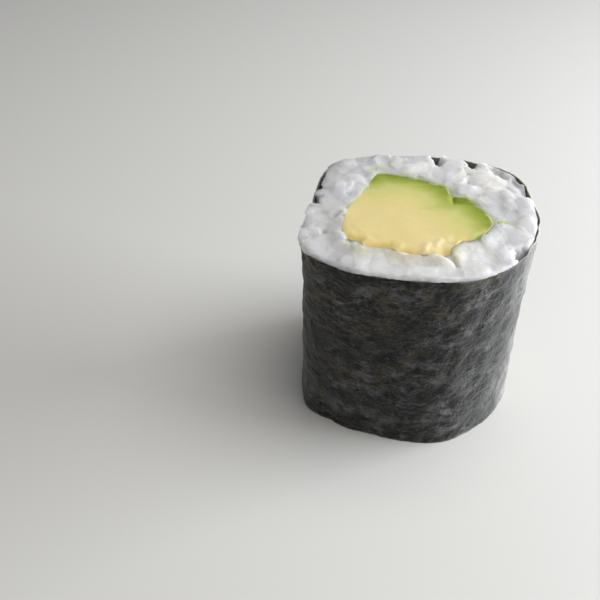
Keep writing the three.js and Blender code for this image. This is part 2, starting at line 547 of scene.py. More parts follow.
class Maker:
    """A Geometry Nodes tree with named inputs, and the mesh that it makes."""

    SOCKETS = {
        float: "NodeSocketFloat",
        int: "NodeSocketInt",
        Object: "NodeSocketObject",
        Material: "NodeSocketMaterial",
    }

    def __init__(self, name: str, values: dict[str, float | int | ID]) -> None:
        """Starts the tree.

        Args:
            name: Name of the tree and of the mesh that it makes.
            values: The named inputs, with the value that each is set to.
        """
        self.name = name
        self.values = values
        self.tree = bpy.data.node_groups.new(name, "GeometryNodeTree")
        self.graph = Graph(self.tree)
        face = self.tree.interface
        face.new_socket("Geometry", in_out="INPUT", socket_type="NodeSocketGeometry")
        face.new_socket("Geometry", in_out="OUTPUT", socket_type="NodeSocketGeometry")
        for label, value in values.items():
            face.new_socket(label, in_out="INPUT", socket_type=self.SOCKETS[type(value)])
        self._given = self.tree.nodes.new("NodeGroupInput")
        self._result = self.tree.nodes.new("NodeGroupOutput")

    def given(self, label: str) -> Wire:
        """One of the tree's inputs."""
        return Wire(self.graph, self._given.outputs[label])

    def position(self) -> Wire:
        """Where each point is."""
        return self.graph.add("GeometryNodeInputPosition")

    def attribute(self, name: str, kind: str = "FLOAT") -> Wire:
        """A number or vector that the points carry."""
        return self.graph.add("GeometryNodeInputNamedAttribute", {"data_type": kind}, {"Name": name})

    def stored(self, geometry: Wire, name: str, kind: str, value: Wire) -> Wire:
        """The geometry with a number or vector that its points carry."""
        inputs = {"Geometry": geometry, "Name": name, "Value": value}
        return self.graph.add("GeometryNodeStoreNamedAttribute", {"data_type": kind}, inputs)

    def together(self, *shapes: Wire) -> Wire:
        """Several geometries as one.

        Args:
            shapes: The geometries.

        Returns:
            All of them.
        """
        whole = self.graph.add("GeometryNodeJoinGeometry")
        for shape in shapes:
            self.graph.feed(whole.socket.node.inputs[0], shape)
        return whole

    def placed(self, geometry: Wire, position: Wire) -> Wire:
        """The geometry with its points put somewhere else."""
        return self.graph.add("GeometryNodeSetPosition", None, {"Geometry": geometry, "Position": position})

    def shifted(self, geometry: Wire, offset: Wire) -> Wire:
        """The geometry with its points moved by an offset."""
        return self.graph.add("GeometryNodeSetPosition", None, {"Geometry": geometry, "Offset": offset})

    def strewn(self, shape: Wire, turn: Wire, scale: Wire) -> Wire:
        """A shape on each of the points that the tree starts from.

        Args:
            shape: The shape.
            turn: How each one is turned.
            scale: How each one is stretched.

        Returns:
            The shapes, as real faces.
        """
        inputs = {"Points": self.given("Geometry"), "Instance": shape, "Rotation": turn, "Scale": scale}
        copies = self.graph.add("GeometryNodeInstanceOnPoints", None, inputs)
        return self.graph.add("GeometryNodeRealizeInstances", None, {0: copies})

    def lumps(self, scale: Term, detail: float) -> Wire:
        """Noise along each axis at every point, from -0.5 to 0.5.

        Args:
            scale: Lumps in a millimetre.
            detail: How many finer layers are added.

        Returns:
            A vector for each point.
        """
        inputs = {"Vector": self.position(), "Scale": scale, "Detail": detail}
        noise = self.graph.add("ShaderNodeTexNoise", None, inputs, "Color")
        return self.graph.vector("SUBTRACT", noise, (0.5, 0.5, 0.5))

    def shape_of(self, label: str) -> Wire:
        """The geometry of an object that is given as an input."""
        return self.graph.add("GeometryNodeObjectInfo", None, {"Object": self.given(label)}, "Geometry")

    def end(self, geometry: Wire) -> None:
        """Realizes what is left of instances, sets the material and closes the tree.

        Args:
            geometry: What the tree has made.
        """
        real = self.graph.add("GeometryNodeRealizeInstances", None, {0: geometry})
        inputs = {"Geometry": real, "Material": self.given("Finish")}
        dressed = self.graph.add("GeometryNodeSetMaterial", None, inputs)
        self.graph.feed(self._result.inputs[0], dressed)

    def make(self, base: Mesh) -> Mesh:
        """Runs the tree on a mesh.

        Args:
            base: What the tree starts from.

        Returns:
            The plain mesh that comes out of it.
        """
        holder = object_of(self.name, base)
        modifier = holder.modifiers.new(self.name, "NODES")
        modifier.node_group = self.tree
        for item in self.tree.interface.items_tree:
            if item.in_out == "INPUT" and item.name in self.values:
                modifier[item.identifier] = self.values[item.name]
        mesh = evaluated(holder)
        mesh.name = self.name
        return mesh

    def clear_helpers(self) -> None:
        """Removes the objects that the tree has read."""
        for value in self.values.values():
            if isinstance(value, Object):
                bpy.data.objects.remove(value)


# ---------------- finishes


@dataclass(frozen=True)
class Finish:
    """A procedural material. Each finish says what goes into its shader."""

    name: str = "finish"

    def inputs(self, graph: Graph) -> dict[str, Term]:
        """What the shader's sockets hold: numbers, colours and wires."""
        return {}

    def material(self) -> Material:
        """Makes the material.

        Returns:
            The material, which holds no other nodes.
        """
        made = bpy.data.materials.new(self.name)
        made.use_nodes = True
        made.node_tree.nodes.clear()
        graph = Graph(made.node_tree)
        surface = graph.add("ShaderNodeBsdfPrincipled", None, self.inputs(graph), "BSDF")
        sink = made.node_tree.nodes.new("ShaderNodeOutputMaterial")
        graph.feed(sink.inputs["Surface"], surface)
        return made

    @staticmethod
    def place(graph: Graph) -> Wire:
        """The object's own coordinates in millimetres."""
        metres = graph.add("ShaderNodeTexCoord", output="Object")
        return graph.scaled(metres, 1 / METRES)

    @staticmethod
    def carried(graph: Graph, name: str) -> Wire:
        """A number that the mesh carries."""
        return graph.add("ShaderNodeAttribute", {"attribute_name": name}, None, "Fac")

    @staticmethod
    def relief(graph: Graph, height: Wire, depth: float) -> Wire:
        """The normal that a height bends, where a height of 1 stands for a depth in millimetres."""
        inputs = {"Height": height, "Distance": depth * METRES, "Strength": 1.0}
        return graph.add("ShaderNodeBump", None, inputs)


@dataclass(frozen=True)
class RiceFinish(Finish):
    """Cooked rice: moist, cloudy white grains that let some light through."""

    name: str = "cooked_rice"
    glassy: str = "C6C6C9"
    plain: str = "CFCECC"
    bright: str = "E8E7E3"
    shadow: str = "B9B8B9"
    stain: str = "B8C874"
    butter: str = "DDD2AC"
    cool: str = "D2D4DE"
    # Painted light: how much lighter the rice grows to the right and towards the front.
    drift: tuple[float, float] = (0.002, -0.005)
    buttery_from: float = -6.6
    buttery_to: float = -7.8
    chip: float = 0.9

    def inputs(self, graph: Graph) -> dict[str, Term]:
        """Cloudy within a grain, a little different from grain to grain, lighter towards the front as
        painted light, and with painted shade in the creases and pits.

        Args:
            graph: The material's nodes.

        Returns:
            What the shader's sockets hold.
        """
        place = self.place(graph)
        clouds = graph.cloud(place, 2.4, 4.0, 0.6, 0.3)
        x, y, _ = graph.parts(place)
        mixed = self.carried(graph, "tone") * 0.5 + clouds * 0.7
        # Painted light: a little lighter to the right and more towards the front.
        white = mixed - 0.16 + x * self.drift[0] + y * self.drift[1]
        tint = graph.cloud(graph.vector("ADD", place, (9.0, 4.0, 0.0)), 1.3, 3.0, 0.6)
        grain = graph.coated(
            linear(self.glassy),
            (graph.step(white, 0.2, 0.7), self.plain),
            (graph.step(white, 0.6, 0.95), self.bright),
            (graph.step(tint, 0.45, 0.7) * 0.5, self.cool),
        )
        buttery = graph.step(y, self.buttery_from, self.buttery_to)
        rubbed = graph.coated(linear(self.stain), (buttery, self.butter))
        grain = graph.blend(self.carried(graph, "stain"), grain, rubbed)
        fine = graph.cloud(place, 0.42, 3.0, 0.6) + self.chips(graph, place) * 0.45
        wet = graph.cloud(place, 1.9, 2.0)
        return {
            # Painted shade: the shadow colour covers the creases and the pits.
            "Base Color": graph.coated(grain, ((1 - self.carried(graph, "crease")) * 0.35, self.shadow)),
            "Roughness": 0.5 + wet * 0.24,
            "Specular IOR Level": 0.3,
            "Normal": self.relief(graph, fine, 0.04),
            "Coat Weight": graph.step(wet, 0.55, 0.38) * 0.08,
            "Coat Roughness": 0.3,
            "Subsurface Weight": 1.0,
            "Subsurface Radius": (1.0, 0.95, 0.9),
            "Subsurface Scale": 4.0 * METRES,
            "IOR": 1.36,
        }

    def chips(self, graph: Graph, place: Wire) -> Wire:
        """Small flat chips, each tipped its own way, as a height over a chip's own middle.

        Args:
            graph: The material's nodes.
            place: Where they are read, in millimetres.

        Returns:
            The height.
        """
        bent = graph.vector("ADD", graph.scaled(place, 1 / self.chip), graph.cloud(place, 1.1, 2.0))
        inputs = {"Vector": bent, "Scale": 1.0}
        cell = graph.add("ShaderNodeTexVoronoi", None, inputs, "Color")
        tip = graph.vector("SUBTRACT", cell, (0.5, 0.5, 0.5))
        off = graph.vector("SUBTRACT", bent, cell.out("Position"))
        return graph.vector("DOT_PRODUCT", tip, off).out("Value")


@dataclass(frozen=True)
class AvocadoFinish(Finish):
    """Ripe avocado: green under the skin, then yellow-green, then cream."""

    name: str = "ripe_avocado"
    rind: str = "78891F"
    green: str = "8F9E36"
    leaf: str = "ABB456"
    lime: str = "CDCC7F"
    pale: str = "DDD189"
    cream: str = "E7D596"
    # Painted shade: the ochre of the front lip's side and of the hollows.
    ochre: str = "D0AE50"
    # Pale smeared flesh, partly painted highlight.
    butter: str = "FAE8BC"
    starch: str = "D5D8B8"
    depths: tuple[float, ...] = (0.0, 0.6, 1.6, 2.9, 4.7, 8.0)
    deepest: float = 10.0

    def inputs(self, graph: Graph) -> dict[str, Term]:
        """Rings of colour by the distance from the skin side, drawn out a little by the blade.

        Args:
            graph: The material's nodes.

        Returns:
            What the shader's sockets hold.
        """
        place = self.place(graph)
        drawn = graph.vector("MULTIPLY", place, (0.6, 1.0, 1.0))
        drift = graph.cloud(drawn, 2.2, 3.0, 0.55, 0.4) - 0.5
        depth = self.carried(graph, "skin") + drift * 1.3
        colours = (self.rind, self.green, self.leaf, self.lime, self.pale, self.cream)
        bands = {"stops": [(at / self.deepest, linear(c)) for at, c in zip(self.depths, colours)]}
        flesh = graph.add("ShaderNodeValToRGB", bands, {"Fac": depth / self.deepest}, "Color")
        patches = graph.cloud(drawn, 1.3, 4.0, 0.6, 0.2)
        edge = self.carried(graph, "edge")
        fine = graph.cloud(place, 0.5, 4.0, 0.6)
        return {
            "Base Color": graph.coated(
                flesh,
                (graph.step(patches, 0.56, 0.8) * 0.25, self.pale),
                # Painted shade in ochre on the front lip's side and in the hollows.
                (edge * 0.85, self.ochre),
                # Pale smeared flesh made as bright as the wet highlights on it: partly painted highlight.
                (self.carried(graph, "smear") * 0.8, self.butter),
                (self.carried(graph, "starch") * 0.6, self.starch),
            ),
            "Roughness": 0.46 + patches * 0.2 + edge * 0.15,
            "Normal": self.relief(graph, fine, 0.03),
            "Coat Weight": 0.06,
            "Coat Roughness": 0.3,
            "Subsurface Weight": 0.4,
            "Subsurface Radius": (1.0, 0.8, 0.35),
            "Subsurface Scale": 1.2 * METRES,
            "IOR": 1.4,
        }


@dataclass(frozen=True)
class NoriFinish(Finish):
    """Damp toasted seaweed: near black, with olive and slate patches and a felt of fine fibres."""

    name: str = "damp_nori"
    black: str = "0A0A0A"
    slate: str = "666667"
    # Painted sheen: the grey that lightens the right side of the sheet.
    dry: str = "B0B1AC"
    olive: str = "504B2E"
    umber: str = "302724"
    fibre: str = "7C7D72"
    # Painted highlight along the cut edge of the rim.
    cut_edge: str = "D6D6C8"
    # Painted light near the rim on the far side.
    lit: str = "8A8C7E"
    fibre_length: float = 1.5
    fibre_width: float = 0.3
    fibre_turns: tuple[float, ...] = (12, 58, 95, 141)

    def inputs(self, graph: Graph) -> dict[str, Term]:
        """Patches by the place on the flat sheet, with fibres that lie in every direction.

        Args:
            graph: The material's nodes.

        Returns:
            What the shader's sockets hold.
        """
        sheet = graph.add("ShaderNodeAttribute", {"attribute_name": "sheet"}, None, "Vector")
        patches = graph.cloud(graph.vector("MULTIPLY", sheet, (0.75, 1.0, 1.0)), 2.4, 7.0, 0.76, 0.35)
        sparse = graph.step(graph.cloud(sheet, 2.6, 2.0), 0.5, 0.66)
        felt = self.felt(graph, sheet) * sparse
        grain = graph.cloud(sheet, 0.4, 4.0, 0.7)
        creases = graph.cloud(sheet, 1.6, 4.0, 0.6, 1.0)
        mottled = self.mottled(graph, sheet, patches, felt)
        return {
            "Base Color": self.edged(graph, mottled),
            "Roughness": 0.42 + patches * 0.24,
            "Normal": self.relief(graph, felt * 0.4 + grain * 0.45 + creases, 0.32),
            "Specular IOR Level": 0.22,
            "Sheen Weight": 0.3,
            "Sheen Roughness": 0.45,
            "IOR": 1.45,
        }

    def mottled(self, graph: Graph, sheet: Wire, patches: Wire, felt: Wire) -> Wire:
        """The sheet's colours: painted sheen on the right, strongest where it is seen at a grazing angle,
        and warmer high up on the left.

        Args:
            graph: The material's nodes.
            sheet: The place on the flat sheet.
            patches: Where it is thin and grey.
            felt: Where a fibre shows.

        Returns:
            The colour.
        """
        x, y, z = graph.parts(self.place(graph))
        warm = 0.4 + graph.step(z * 0.7 - x, 4.0, 24.0) * 0.6
        facing = graph.add("ShaderNodeLayerWeight", None, {"Blend": 0.5}, "Facing")
        # Painted sheen: lighter towards the right, and most of all where the sheet is seen at a grazing
        # angle.
        painted_sheen_share = graph.step(x + y * 0.3, 5.0, 15.0) * (graph.step(facing, 0.25, 0.8) * 0.75 + 0.12)
        tint = graph.cloud(graph.vector("ADD", sheet, (31.0, 7.0, 0.0)), 3.0, 4.0, 0.6, 0.6)
        worn = graph.cloud(graph.vector("ADD", sheet, (3.0, 53.0, 0.0)), 1.1, 4.0, 0.65, 0.4)
        broad = graph.cloud(graph.vector("ADD", sheet, (71.0, 13.0, 0.0)), 6.5, 2.0)
        specks = graph.cloud(sheet, 0.6, 3.0, 0.7)
        return graph.coated(
            linear(self.black),
            (graph.step(patches, 0.47, 0.63), self.slate),
            (painted_sheen_share, self.dry),
            (graph.step(tint, 0.47, 0.68) * warm, self.olive),
            (graph.step(worn, 0.48, 0.66) * warm * 0.8, self.umber),
            (graph.step(broad, 0.42, 0.62) * 0.7, self.black),
            (graph.step(specks, 0.54, 0.66) * 0.75, self.black),
            (graph.step(specks, 0.46, 0.34) * 0.22, self.fibre),
            (felt * 0.32, self.fibre),
        )

    def edged(self, graph: Graph, colour: Wire) -> Wire:
        """The colour with painted light near the rim on the far side, where light comes through, and a
        painted highlight along the cut edge, strongest on that side.

        Args:
            graph: The material's nodes.
            colour: The sheet's colour.

        Returns:
            The mixed colour.
        """
        x, y, _ = graph.parts(self.place(graph))
        far_side = graph.step(x * 0.6 + y * 0.8, -2.0, 5.0)
        up = self.carried(graph, "up")
        return graph.coated(
            colour,
            # Painted light on the far side near the rim, for light that comes through the sheet.
            (graph.step(up, 0.95, 0.985) * far_side * 0.6, self.lit),
            # Painted highlight along the cut edge, strongest on the far side at the back right, towards the
            # lamp.
            (graph.step(up, 0.995, 1.0) * (0.2 + far_side * 0.7), self.cut_edge),
        )

    def felt(self, graph: Graph, sheet: Wire) -> Wire:
        """Fine threads: noise drawn out along several directions, and the strongest of them.

        Args:
            graph: The material's nodes.
            sheet: The place on the flat sheet.

        Returns:
            1 on a thread and 0 beside it.
        """
        strongest_strand = 0.0
        for turn in self.fibre_turns:
            inputs = {"Vector": sheet, "Axis": (0.0, 0.0, 1.0), "Angle": math.radians(turn)}
            turned = graph.add("ShaderNodeVectorRotate", {"rotation_type": "AXIS_ANGLE"}, inputs)
            drawn = graph.vector("MULTIPLY", turned, (1 / self.fibre_length, 1 / self.fibre_width, 1.0))
            strand = graph.step(graph.cloud(drawn, 1.0, 2.0, 0.5, 0.3), 0.6, 0.78)
            strongest_strand = graph.math("MAXIMUM", strongest_strand, strand)
        return strongest_strand


@dataclass(frozen=True)
class TableFinish(Finish):
    """A plain pale table top."""

    name: str = "pale_table"
    colour: str = "DCDBD8"
    darker: str = "D0CFCC"

    def inputs(self, graph: Graph) -> dict[str, Term]:
        """Almost even, with a faint drift in tone and gloss.

        Args:
            graph: The material's nodes.

        Returns:
            What the shader's sockets hold.
        """
        drift = graph.cloud(self.place(graph), 60.0, 2.0)
        return {
            "Base Color": graph.coated(linear(self.colour), (drift * 0.15, self.darker)),
            "Roughness": 0.55 + drift * 0.1,
        }


# ---------------- the roll's form


@dataclass
class RollForm:
    """The outlines of the roll, read from the frame's solids by casting rays at them."""

    angles: int = 720
    levels: int = 28
    ray_from: float = 60.0
    relief: float = 0.45
    half_width: float = 14.0
    scraped: float = 0.05
    front_rise: float = 0.62
    left_rise: float = 0.1
    wall_harmonics: float = 44
    wedge_harmonics: float = 70
    height: float = field(init=False)

    def __post_init__(self) -> None:
        """Reads the outlines once. The knife's level lies under the highest relief of the solid rice."""
        self.trees = {node: self._tree(node) for node in Node}
        self.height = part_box(Node.RICE.value)[1].z / METRES - self.relief
        self.turns = np.arange(self.angles) / self.angles * TURN
        self.heights = np.linspace(0.4, self.height - 1.2, self.levels)
        wall = [[self._radius(Node.RICE, a, z) for z in self.heights] for a in self.turns]
        self.wall = self._soften(np.array(wall), self.wall_harmonics)
        edge = [[self._radius(Node.AVOCADO, a, self.height / 2)] for a in self.turns]
        self.wedge = self._soften(np.array(edge), self.wedge_harmonics)[:, 0]
        self.rim = self._rim()

    @staticmethod
    def _tree(node: Node) -> BVHTree:
        """The solid of one node in millimetres, ready for rays.

        Args:
            node: The node.

        Returns:
            Its faces as a tree.
        """
        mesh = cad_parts[node.value].data
        points = [Vector(v.co) / METRES for v in mesh.vertices]
        return BVHTree.FromPolygons(points, [tuple(p.vertices) for p in mesh.polygons])

    def _radius(self, node: Node, angle: float, z: float) -> float:
        """Distance from the axis to the outside of a node.

        Args:
            node: The node.
            angle: The direction.
            z: The height.

        Returns:
            The distance.
        """
        out = Vector((math.cos(angle), math.sin(angle), 0.0))
        start = out * self.ray_from + Vector((0.0, 0.0, z))
        hit = self.trees[node].ray_cast(start, -out)[0]
        return math.hypot(hit.x, hit.y)

    @staticmethod
    def _soften(values: np.ndarray, harmonics: float) -> np.ndarray:
        """Smooths the columns of a table that runs once round the roll.

        Args:
            values: The table, with one row for each turn.
            harmonics: Where waves begin to fade out.

        Returns:
            The smooth table.
        """
        spectrum = np.fft.rfft(values, axis=0)
        keep = np.exp(-((np.arange(len(spectrum)) / harmonics) ** 2))
        return np.fft.irfft(spectrum * keep[:, None], n=len(values), axis=0)

    def _rim(self) -> np.ndarray:
        """Reads the height of the sheet's upper edge, for each of the turns.

        Returns:
            The heights.
        """
        points = mesh_points(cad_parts[Node.NORI.value].data) / METRES
        upper = points[points[:, 2] > self.height - 0.9]
        angle = np.arctan2(upper[:, 1], upper[:, 0]) % TURN
        order = np.argsort(angle)
        return np.interp(self.turns, angle[order], upper[order, 2], period=TURN)

    def rice_radius(self, angle: Number, z: Number) -> Number:
        """Radius of the rice's outside, where the sheet lies on it.

        Args:
            angle: The direction.
            z: The height.

        Returns:
            The radius.
        """
        row = np.asarray(angle) % TURN / TURN * self.angles
        low = row.astype(int) % self.angles
        high = (low + 1) % self.angles
        share = row - np.floor(row)
        level = np.clip(np.interp(z, self.heights, np.arange(self.levels)), 0, self.levels - 1.001)
        step = level.astype(int)
        up = level - step
        near = self.wall[low, step] * (1 - up) + self.wall[low, step + 1] * up
        far = self.wall[high, step] * (1 - up) + self.wall[high, step + 1] * up
        return near * (1 - share) + far * share

    def wedge_radius(self, angle: Number) -> Number:
        """Radius of the avocado's outline."""
        return np.interp(np.asarray(angle) % TURN, self.turns, self.wedge, period=TURN)

    def rim_height(self, angle: Number) -> Number:
        """Height of the sheet's upper edge."""
        return np.interp(np.asarray(angle) % TURN, self.turns, self.rim, period=TURN)

    def rice_level(self, x: Number) -> Number:
        """Mean height of the upper cut face of the rice, which stands a little higher on the left."""
        return self.height - self.scraped - self.left_rise * x / self.half_width

    def lean(self, y: Number) -> Number:
        """How far the avocado stands above the rice, which grows towards the front."""
        return self.front_rise * smooth(-y, -6.0, 8.0)

    def beyond_wedge(self, points: np.ndarray) -> np.ndarray:
        """How far outside the avocado's outline some points lie."""
        angle, radius = around(points)
        return radius - self.wedge_radius(angle)

    def near_cut(self, points: np.ndarray, low: float = 2.5, high: float = 0.8) -> np.ndarray:
        """How near the upper cut some points lie: 0 at the depth low, and 1 from the depth high on."""
        return smooth(points[:, 2], self.height - low, self.height - high)


@dataclass(frozen=True)
class Sector:
    """One side of the roll, which fades out along the outline.

    middle is its direction in degrees. edge and full are cosines of the angle from there: where it ends,
    and where it is whole.
    """

    middle: float
    edge: float
    full: float

    def share(self, angle: Number) -> Number:
        """How far some directions lie within it, from 0 to 1."""
        return smooth(np.cos(angle - math.radians(self.middle)), self.edge, self.full)


HIGH_RIM_SIDE = Sector(14, 0.5, 0.95)
SKIN_SIDE = Sector(52, 0.25, 0.75)
GAP_SIDE = Sector(152, 0.93, 1.0)
SPILL_SIDE = Sector(190, 0.8, 0.93)
FRONT_SIDE = Sector(268, 0.5, 0.85)


# ---------------- rice


@dataclass
class Grains:
    """Grains of rice as rods with round ends, in millimetres.

    tone runs from 0 for a glassy grain to 1 for a white one. lift is how far a grain that the knife has
    cut stands above its neighbours, and slope is how steeply its cut face tips.
    """

    centre: np.ndarray
    axis: np.ndarray
    half: np.ndarray
    girth: np.ndarray
    tone: np.ndarray
    lift: np.ndarray
    slope: np.ndarray

    def along(self, share: float) -> np.ndarray:
        """The points at a share of the way from each middle to the end."""
        return self.centre + share * self.half[:, None] * self.axis

    def only(self, keep: np.ndarray) -> "Grains":
        """Some of the grains."""
        return Grains(*(getattr(self, part.name)[keep] for part in fields(self)))

    def with_more(self, more: "Grains") -> "Grains":
        """These grains and some others."""
        pairs = ([getattr(self, part.name), getattr(more, part.name)] for part in fields(self))
        return Grains(*map(np.concatenate, pairs))


@dataclass
class GrainPacking:
    """Presses grains into the ring between the avocado and the sheet."""

    form: RollForm
    count: int = 620
    girth: float = 1.2
    half: float = 1.65
    beyond: float = 2.5
    steps: int = 240
    reach: float = 7.4
    tightness: float = 0.92
    unevenness: float = 0.05
    tip: float = 0.07
    proud_share: float = 0.07
    sunk_share: float = 0.08

    def pack(self) -> Grains:
        """Strews the grains and pushes them apart until they lie side by side.

        Returns:
            The grains, some of which reach past the two cuts.
        """
        rng = np.random.default_rng(SEED)
        n = self.count
        angle = rng.uniform(0, TURN, n)
        z = rng.uniform(-self.beyond, self.form.height + self.beyond, n)
        inner = self.form.wedge_radius(angle) + 1.0
        outer = self.form.rice_radius(angle, z) - 1.0
        radius = np.sqrt(rng.uniform(inner**2, outer**2))
        axis = rng.normal(size=(n, 3)) * (1.0, 1.0, 0.8)
        axis /= np.linalg.norm(axis, axis=1)[:, None]
        half = self.half * rng.uniform(0.8, 1.15, n)
        girth = self.girth * rng.uniform(0.9, 1.1, n)
        fate = rng.uniform(0, 1, n)
        lift = rng.normal(0, self.unevenness, n)
        lift += np.where(fate > 1 - self.proud_share, rng.uniform(0.08, 0.22, n), 0)
        lift -= np.where(fate < self.sunk_share, rng.uniform(0.08, 0.25, n), 0)
        slope = rng.normal(0, self.tip, (n, 3)) * (1.0, 1.0, 0.0)
        grains = Grains(polar(angle, radius, z), axis, half, girth, rng.uniform(0, 1, n), lift, slope)
        for step in range(self.steps):
            if step % 6 == 0:
                pairs = self._near(grains.centre)
            swell = min(1.0, 0.5 + 0.5 * step / (0.6 * self.steps))
            self._relax(grains, pairs, swell)
        return grains

    def _near(self, centre: np.ndarray) -> tuple[np.ndarray, np.ndarray]:
        """The pairs of grains that are close enough to touch."""
        gap = np.linalg.norm(centre[:, None] - centre[None], axis=2)
        return np.nonzero(np.triu(gap < self.reach, 1))

    def _relax(self, grains: Grains, pairs: tuple[np.ndarray, np.ndarray], swell: float) -> None:
        """Moves and turns the grains one step out of each other and out of the walls.

        Args:
            grains: The grains, which are changed.
            pairs: The numbers of the first and the second grain of each pair.
            swell: How much of their girth they have.
        """
        i, j = pairs
        shift = np.zeros_like(grains.centre)
        turn = np.zeros_like(grains.axis)
        between = grains.centre[i] - grains.centre[j]
        cosine = np.sum(grains.axis[i] * grains.axis[j], axis=1)
        c = np.sum(grains.axis[i] * between, axis=1)
        f = np.sum(grains.axis[j] * between, axis=1)
        s = np.clip((cosine * f - c) / np.maximum(1 - cosine**2, 1e-6), -grains.half[i], grains.half[i])
        t = np.clip(cosine * s + f, -grains.half[j], grains.half[j])
        s = np.clip(cosine * t - c, -grains.half[i], grains.half[i])
        apart = between + s[:, None] * grains.axis[i] - t[:, None] * grains.axis[j]
        distance = np.maximum(np.linalg.norm(apart, axis=1), 1e-6)
        depth = (grains.girth[i] + grains.girth[j]) * swell * self.tightness - distance
        push = (np.maximum(depth, 0) / distance / 2)[:, None] * apart
        for who, lever, force in ((i, s, push), (j, t, -push)):
            np.add.at(shift, who, force)
            np.add.at(turn, who, lever[:, None] * force)
        for share in (-1.0, 0.0, 1.0):
            point = grains.along(share)
            angle, radius = around(point)
            room = grains.girth * swell
            out = np.maximum(radius - (self.form.rice_radius(angle, point[:, 2]) - 0.96 * room), 0)
            back = np.maximum(self.form.wedge_radius(angle) + 0.9 * room - radius, 0)
            force = (back - out)[:, None] * polar(angle, 1.0, 0.0)
            shift += force * 0.8
            turn += share * grains.half[:, None] * force
        grains.centre += 0.42 * shift
        turn -= np.sum(turn * grains.axis, axis=1)[:, None] * grains.axis
        grains.axis += 0.42 * turn / (grains.half**2 + 0.5 * grains.girth**2)[:, None]
        grains.axis /= np.linalg.norm(grains.axis, axis=1)[:, None]


class Cut(Enum):
    """Which of the two knife cuts a piece of rice lies at."""

    UPPER = 1
    LOWER = -1


@dataclass(frozen=True)
class LaidGrain:
    """A grain that the knife left lying on the upper cut: its middle, direction, size and height."""

    x: float
    y: float
    turn: float
    half: float
    girth: float
    rise: float
    tone: float = 1.0


@dataclass(frozen=True)
class Streak:
    """A soft-edged mark on the upper cut, from one place to another."""

    start: tuple[float, float]
    end: tuple[float, float]
    width: float
    strength: float

    def share(self, points: np.ndarray, ragged: Number = 1.0) -> np.ndarray:
        """How strongly it marks some points.

        Args:
            points: Rows of x, y, z in millimetres.
            ragged: How much further away each point counts as being.

        Returns:
            Its strength along the middle, and less and less beside it.
        """
        start, run = np.array(self.start), np.subtract(self.end, self.start)
        along = np.clip((points[:, :2] - start) @ run / max(run @ run, 1e-6), 0, 1)[:, None]
        away = np.linalg.norm(points[:, :2] - start - along * run, axis=1)
        return self.strength * bump(away * ragged, self.width)


def strongest(streaks: Sequence[Streak], points: np.ndarray, ragged: Number = 1.0) -> np.ndarray:
    """The strongest of some streaks at each point."""
    return np.max([streak.share(points, ragged) for streak in streaks], axis=0)


STAINS = (
    Streak((8.8, -2.4), (10.0, -2.7), 0.45, 1.0),
    Streak((10.0, -2.7), (10.9, -3.7), 0.3, 0.7),
    Streak((-4.8, 8.9), (-3.6, 9.0), 0.7, 0.7),
    Streak((5.2, 4.0), (7.4, 2.3), 0.4, 0.4),
    Streak((7.4, -5.8), (6.4, -6.7), 0.45, 0.9),
)

LAID_GRAINS = (
    LaidGrain(5.0, -7.9, 2, 0.8, 1.2, 0.28),
    LaidGrain(4.8, -9.3, -4, 0.7, 1.1, 0.22),
    LaidGrain(-8.8, -7.5, 4, 0.7, 1.0, 0.08),
    LaidGrain(-8.9, -8.6, 20, 1.3, 1.2, 0.1),
    LaidGrain(8.8, 8.2, 128, 1.7, 1.6, 0.12),
    LaidGrain(9.4, 5.6, 100, 1.6, 1.6, 0.08),
    LaidGrain(10.6, 7.0, 115, 1.2, 1.3, 0.06),
    LaidGrain(8.6, -8.3, 60, 1.2, 1.2, 0.25),
    LaidGrain(11.3, 2.4, 95, 1.4, 1.2, 0.3),
    LaidGrain(-13.2, -0.9, 100, 1.3, 1.2, 0.2, 0.9),
    LaidGrain(-13.6, -5.4, 110, 1.6, 1.3, 0.25, 0.8),
    LaidGrain(-0.6, -10.6, 170, 1.8, 1.2, 0.15, 0.7),
)

# Whiter grains; the broad spot along the front edge is painted light.
WHITE_SPOTS_AND_PAINTED_LIGHT = (
    Streak((8.8, 8.2), (9.4, 6.4), 3.0, 1.2),
    Streak((-1.0, 10.6), (3.0, 9.6), 1.8, 0.5),
    Streak((4.6, -8.4), (5.6, -8.4), 1.8, 0.8),
    # Painted light along the front edge of the rice.
    Streak((-4.0, -10.6), (0.5, -10.8), 3.2, 1.3),
    Streak((-8.6, -8.2), (-8.0, -8.2), 1.5, 0.4),
)

PITS = (
    Streak((-10.1, -1.3), (-9.5, -0.6), 0.35, 0.5),
    Streak((-11.4, -4.6), (-11.4, -4.4), 0.4, 0.5),
    Streak((-12.7, 2.5), (-12.4, 2.5), 0.6, 1.3),
    Streak((3.85, 13.2), (3.75, 10.8), 0.48, 1.6),
    Streak((8.4, 11.8), (8.0, 10.1), 0.48, 1.6),
    Streak((7.1, 9.6), (7.1, 9.4), 0.22, 0.4),
    Streak((7.2, 8.3), (7.2, 8.1), 0.22, 0.3),
    Streak((7.0, 6.6), (7.0, 6.4), 0.2, 0.25),
    Streak((11.2, -8.1), (10.5, -8.8), 0.65, 1.9),
    Streak((2.8, -9.8), (3.1, -10.8), 0.28, 0.6),
)

BESIDE_THE_RIM = (
    Streak((10.4, 9.3), (11.9, 7.7), 0.5, 1.0),
    Streak((12.9, 6.7), (13.9, 3.7), 0.5, 1.0),
)


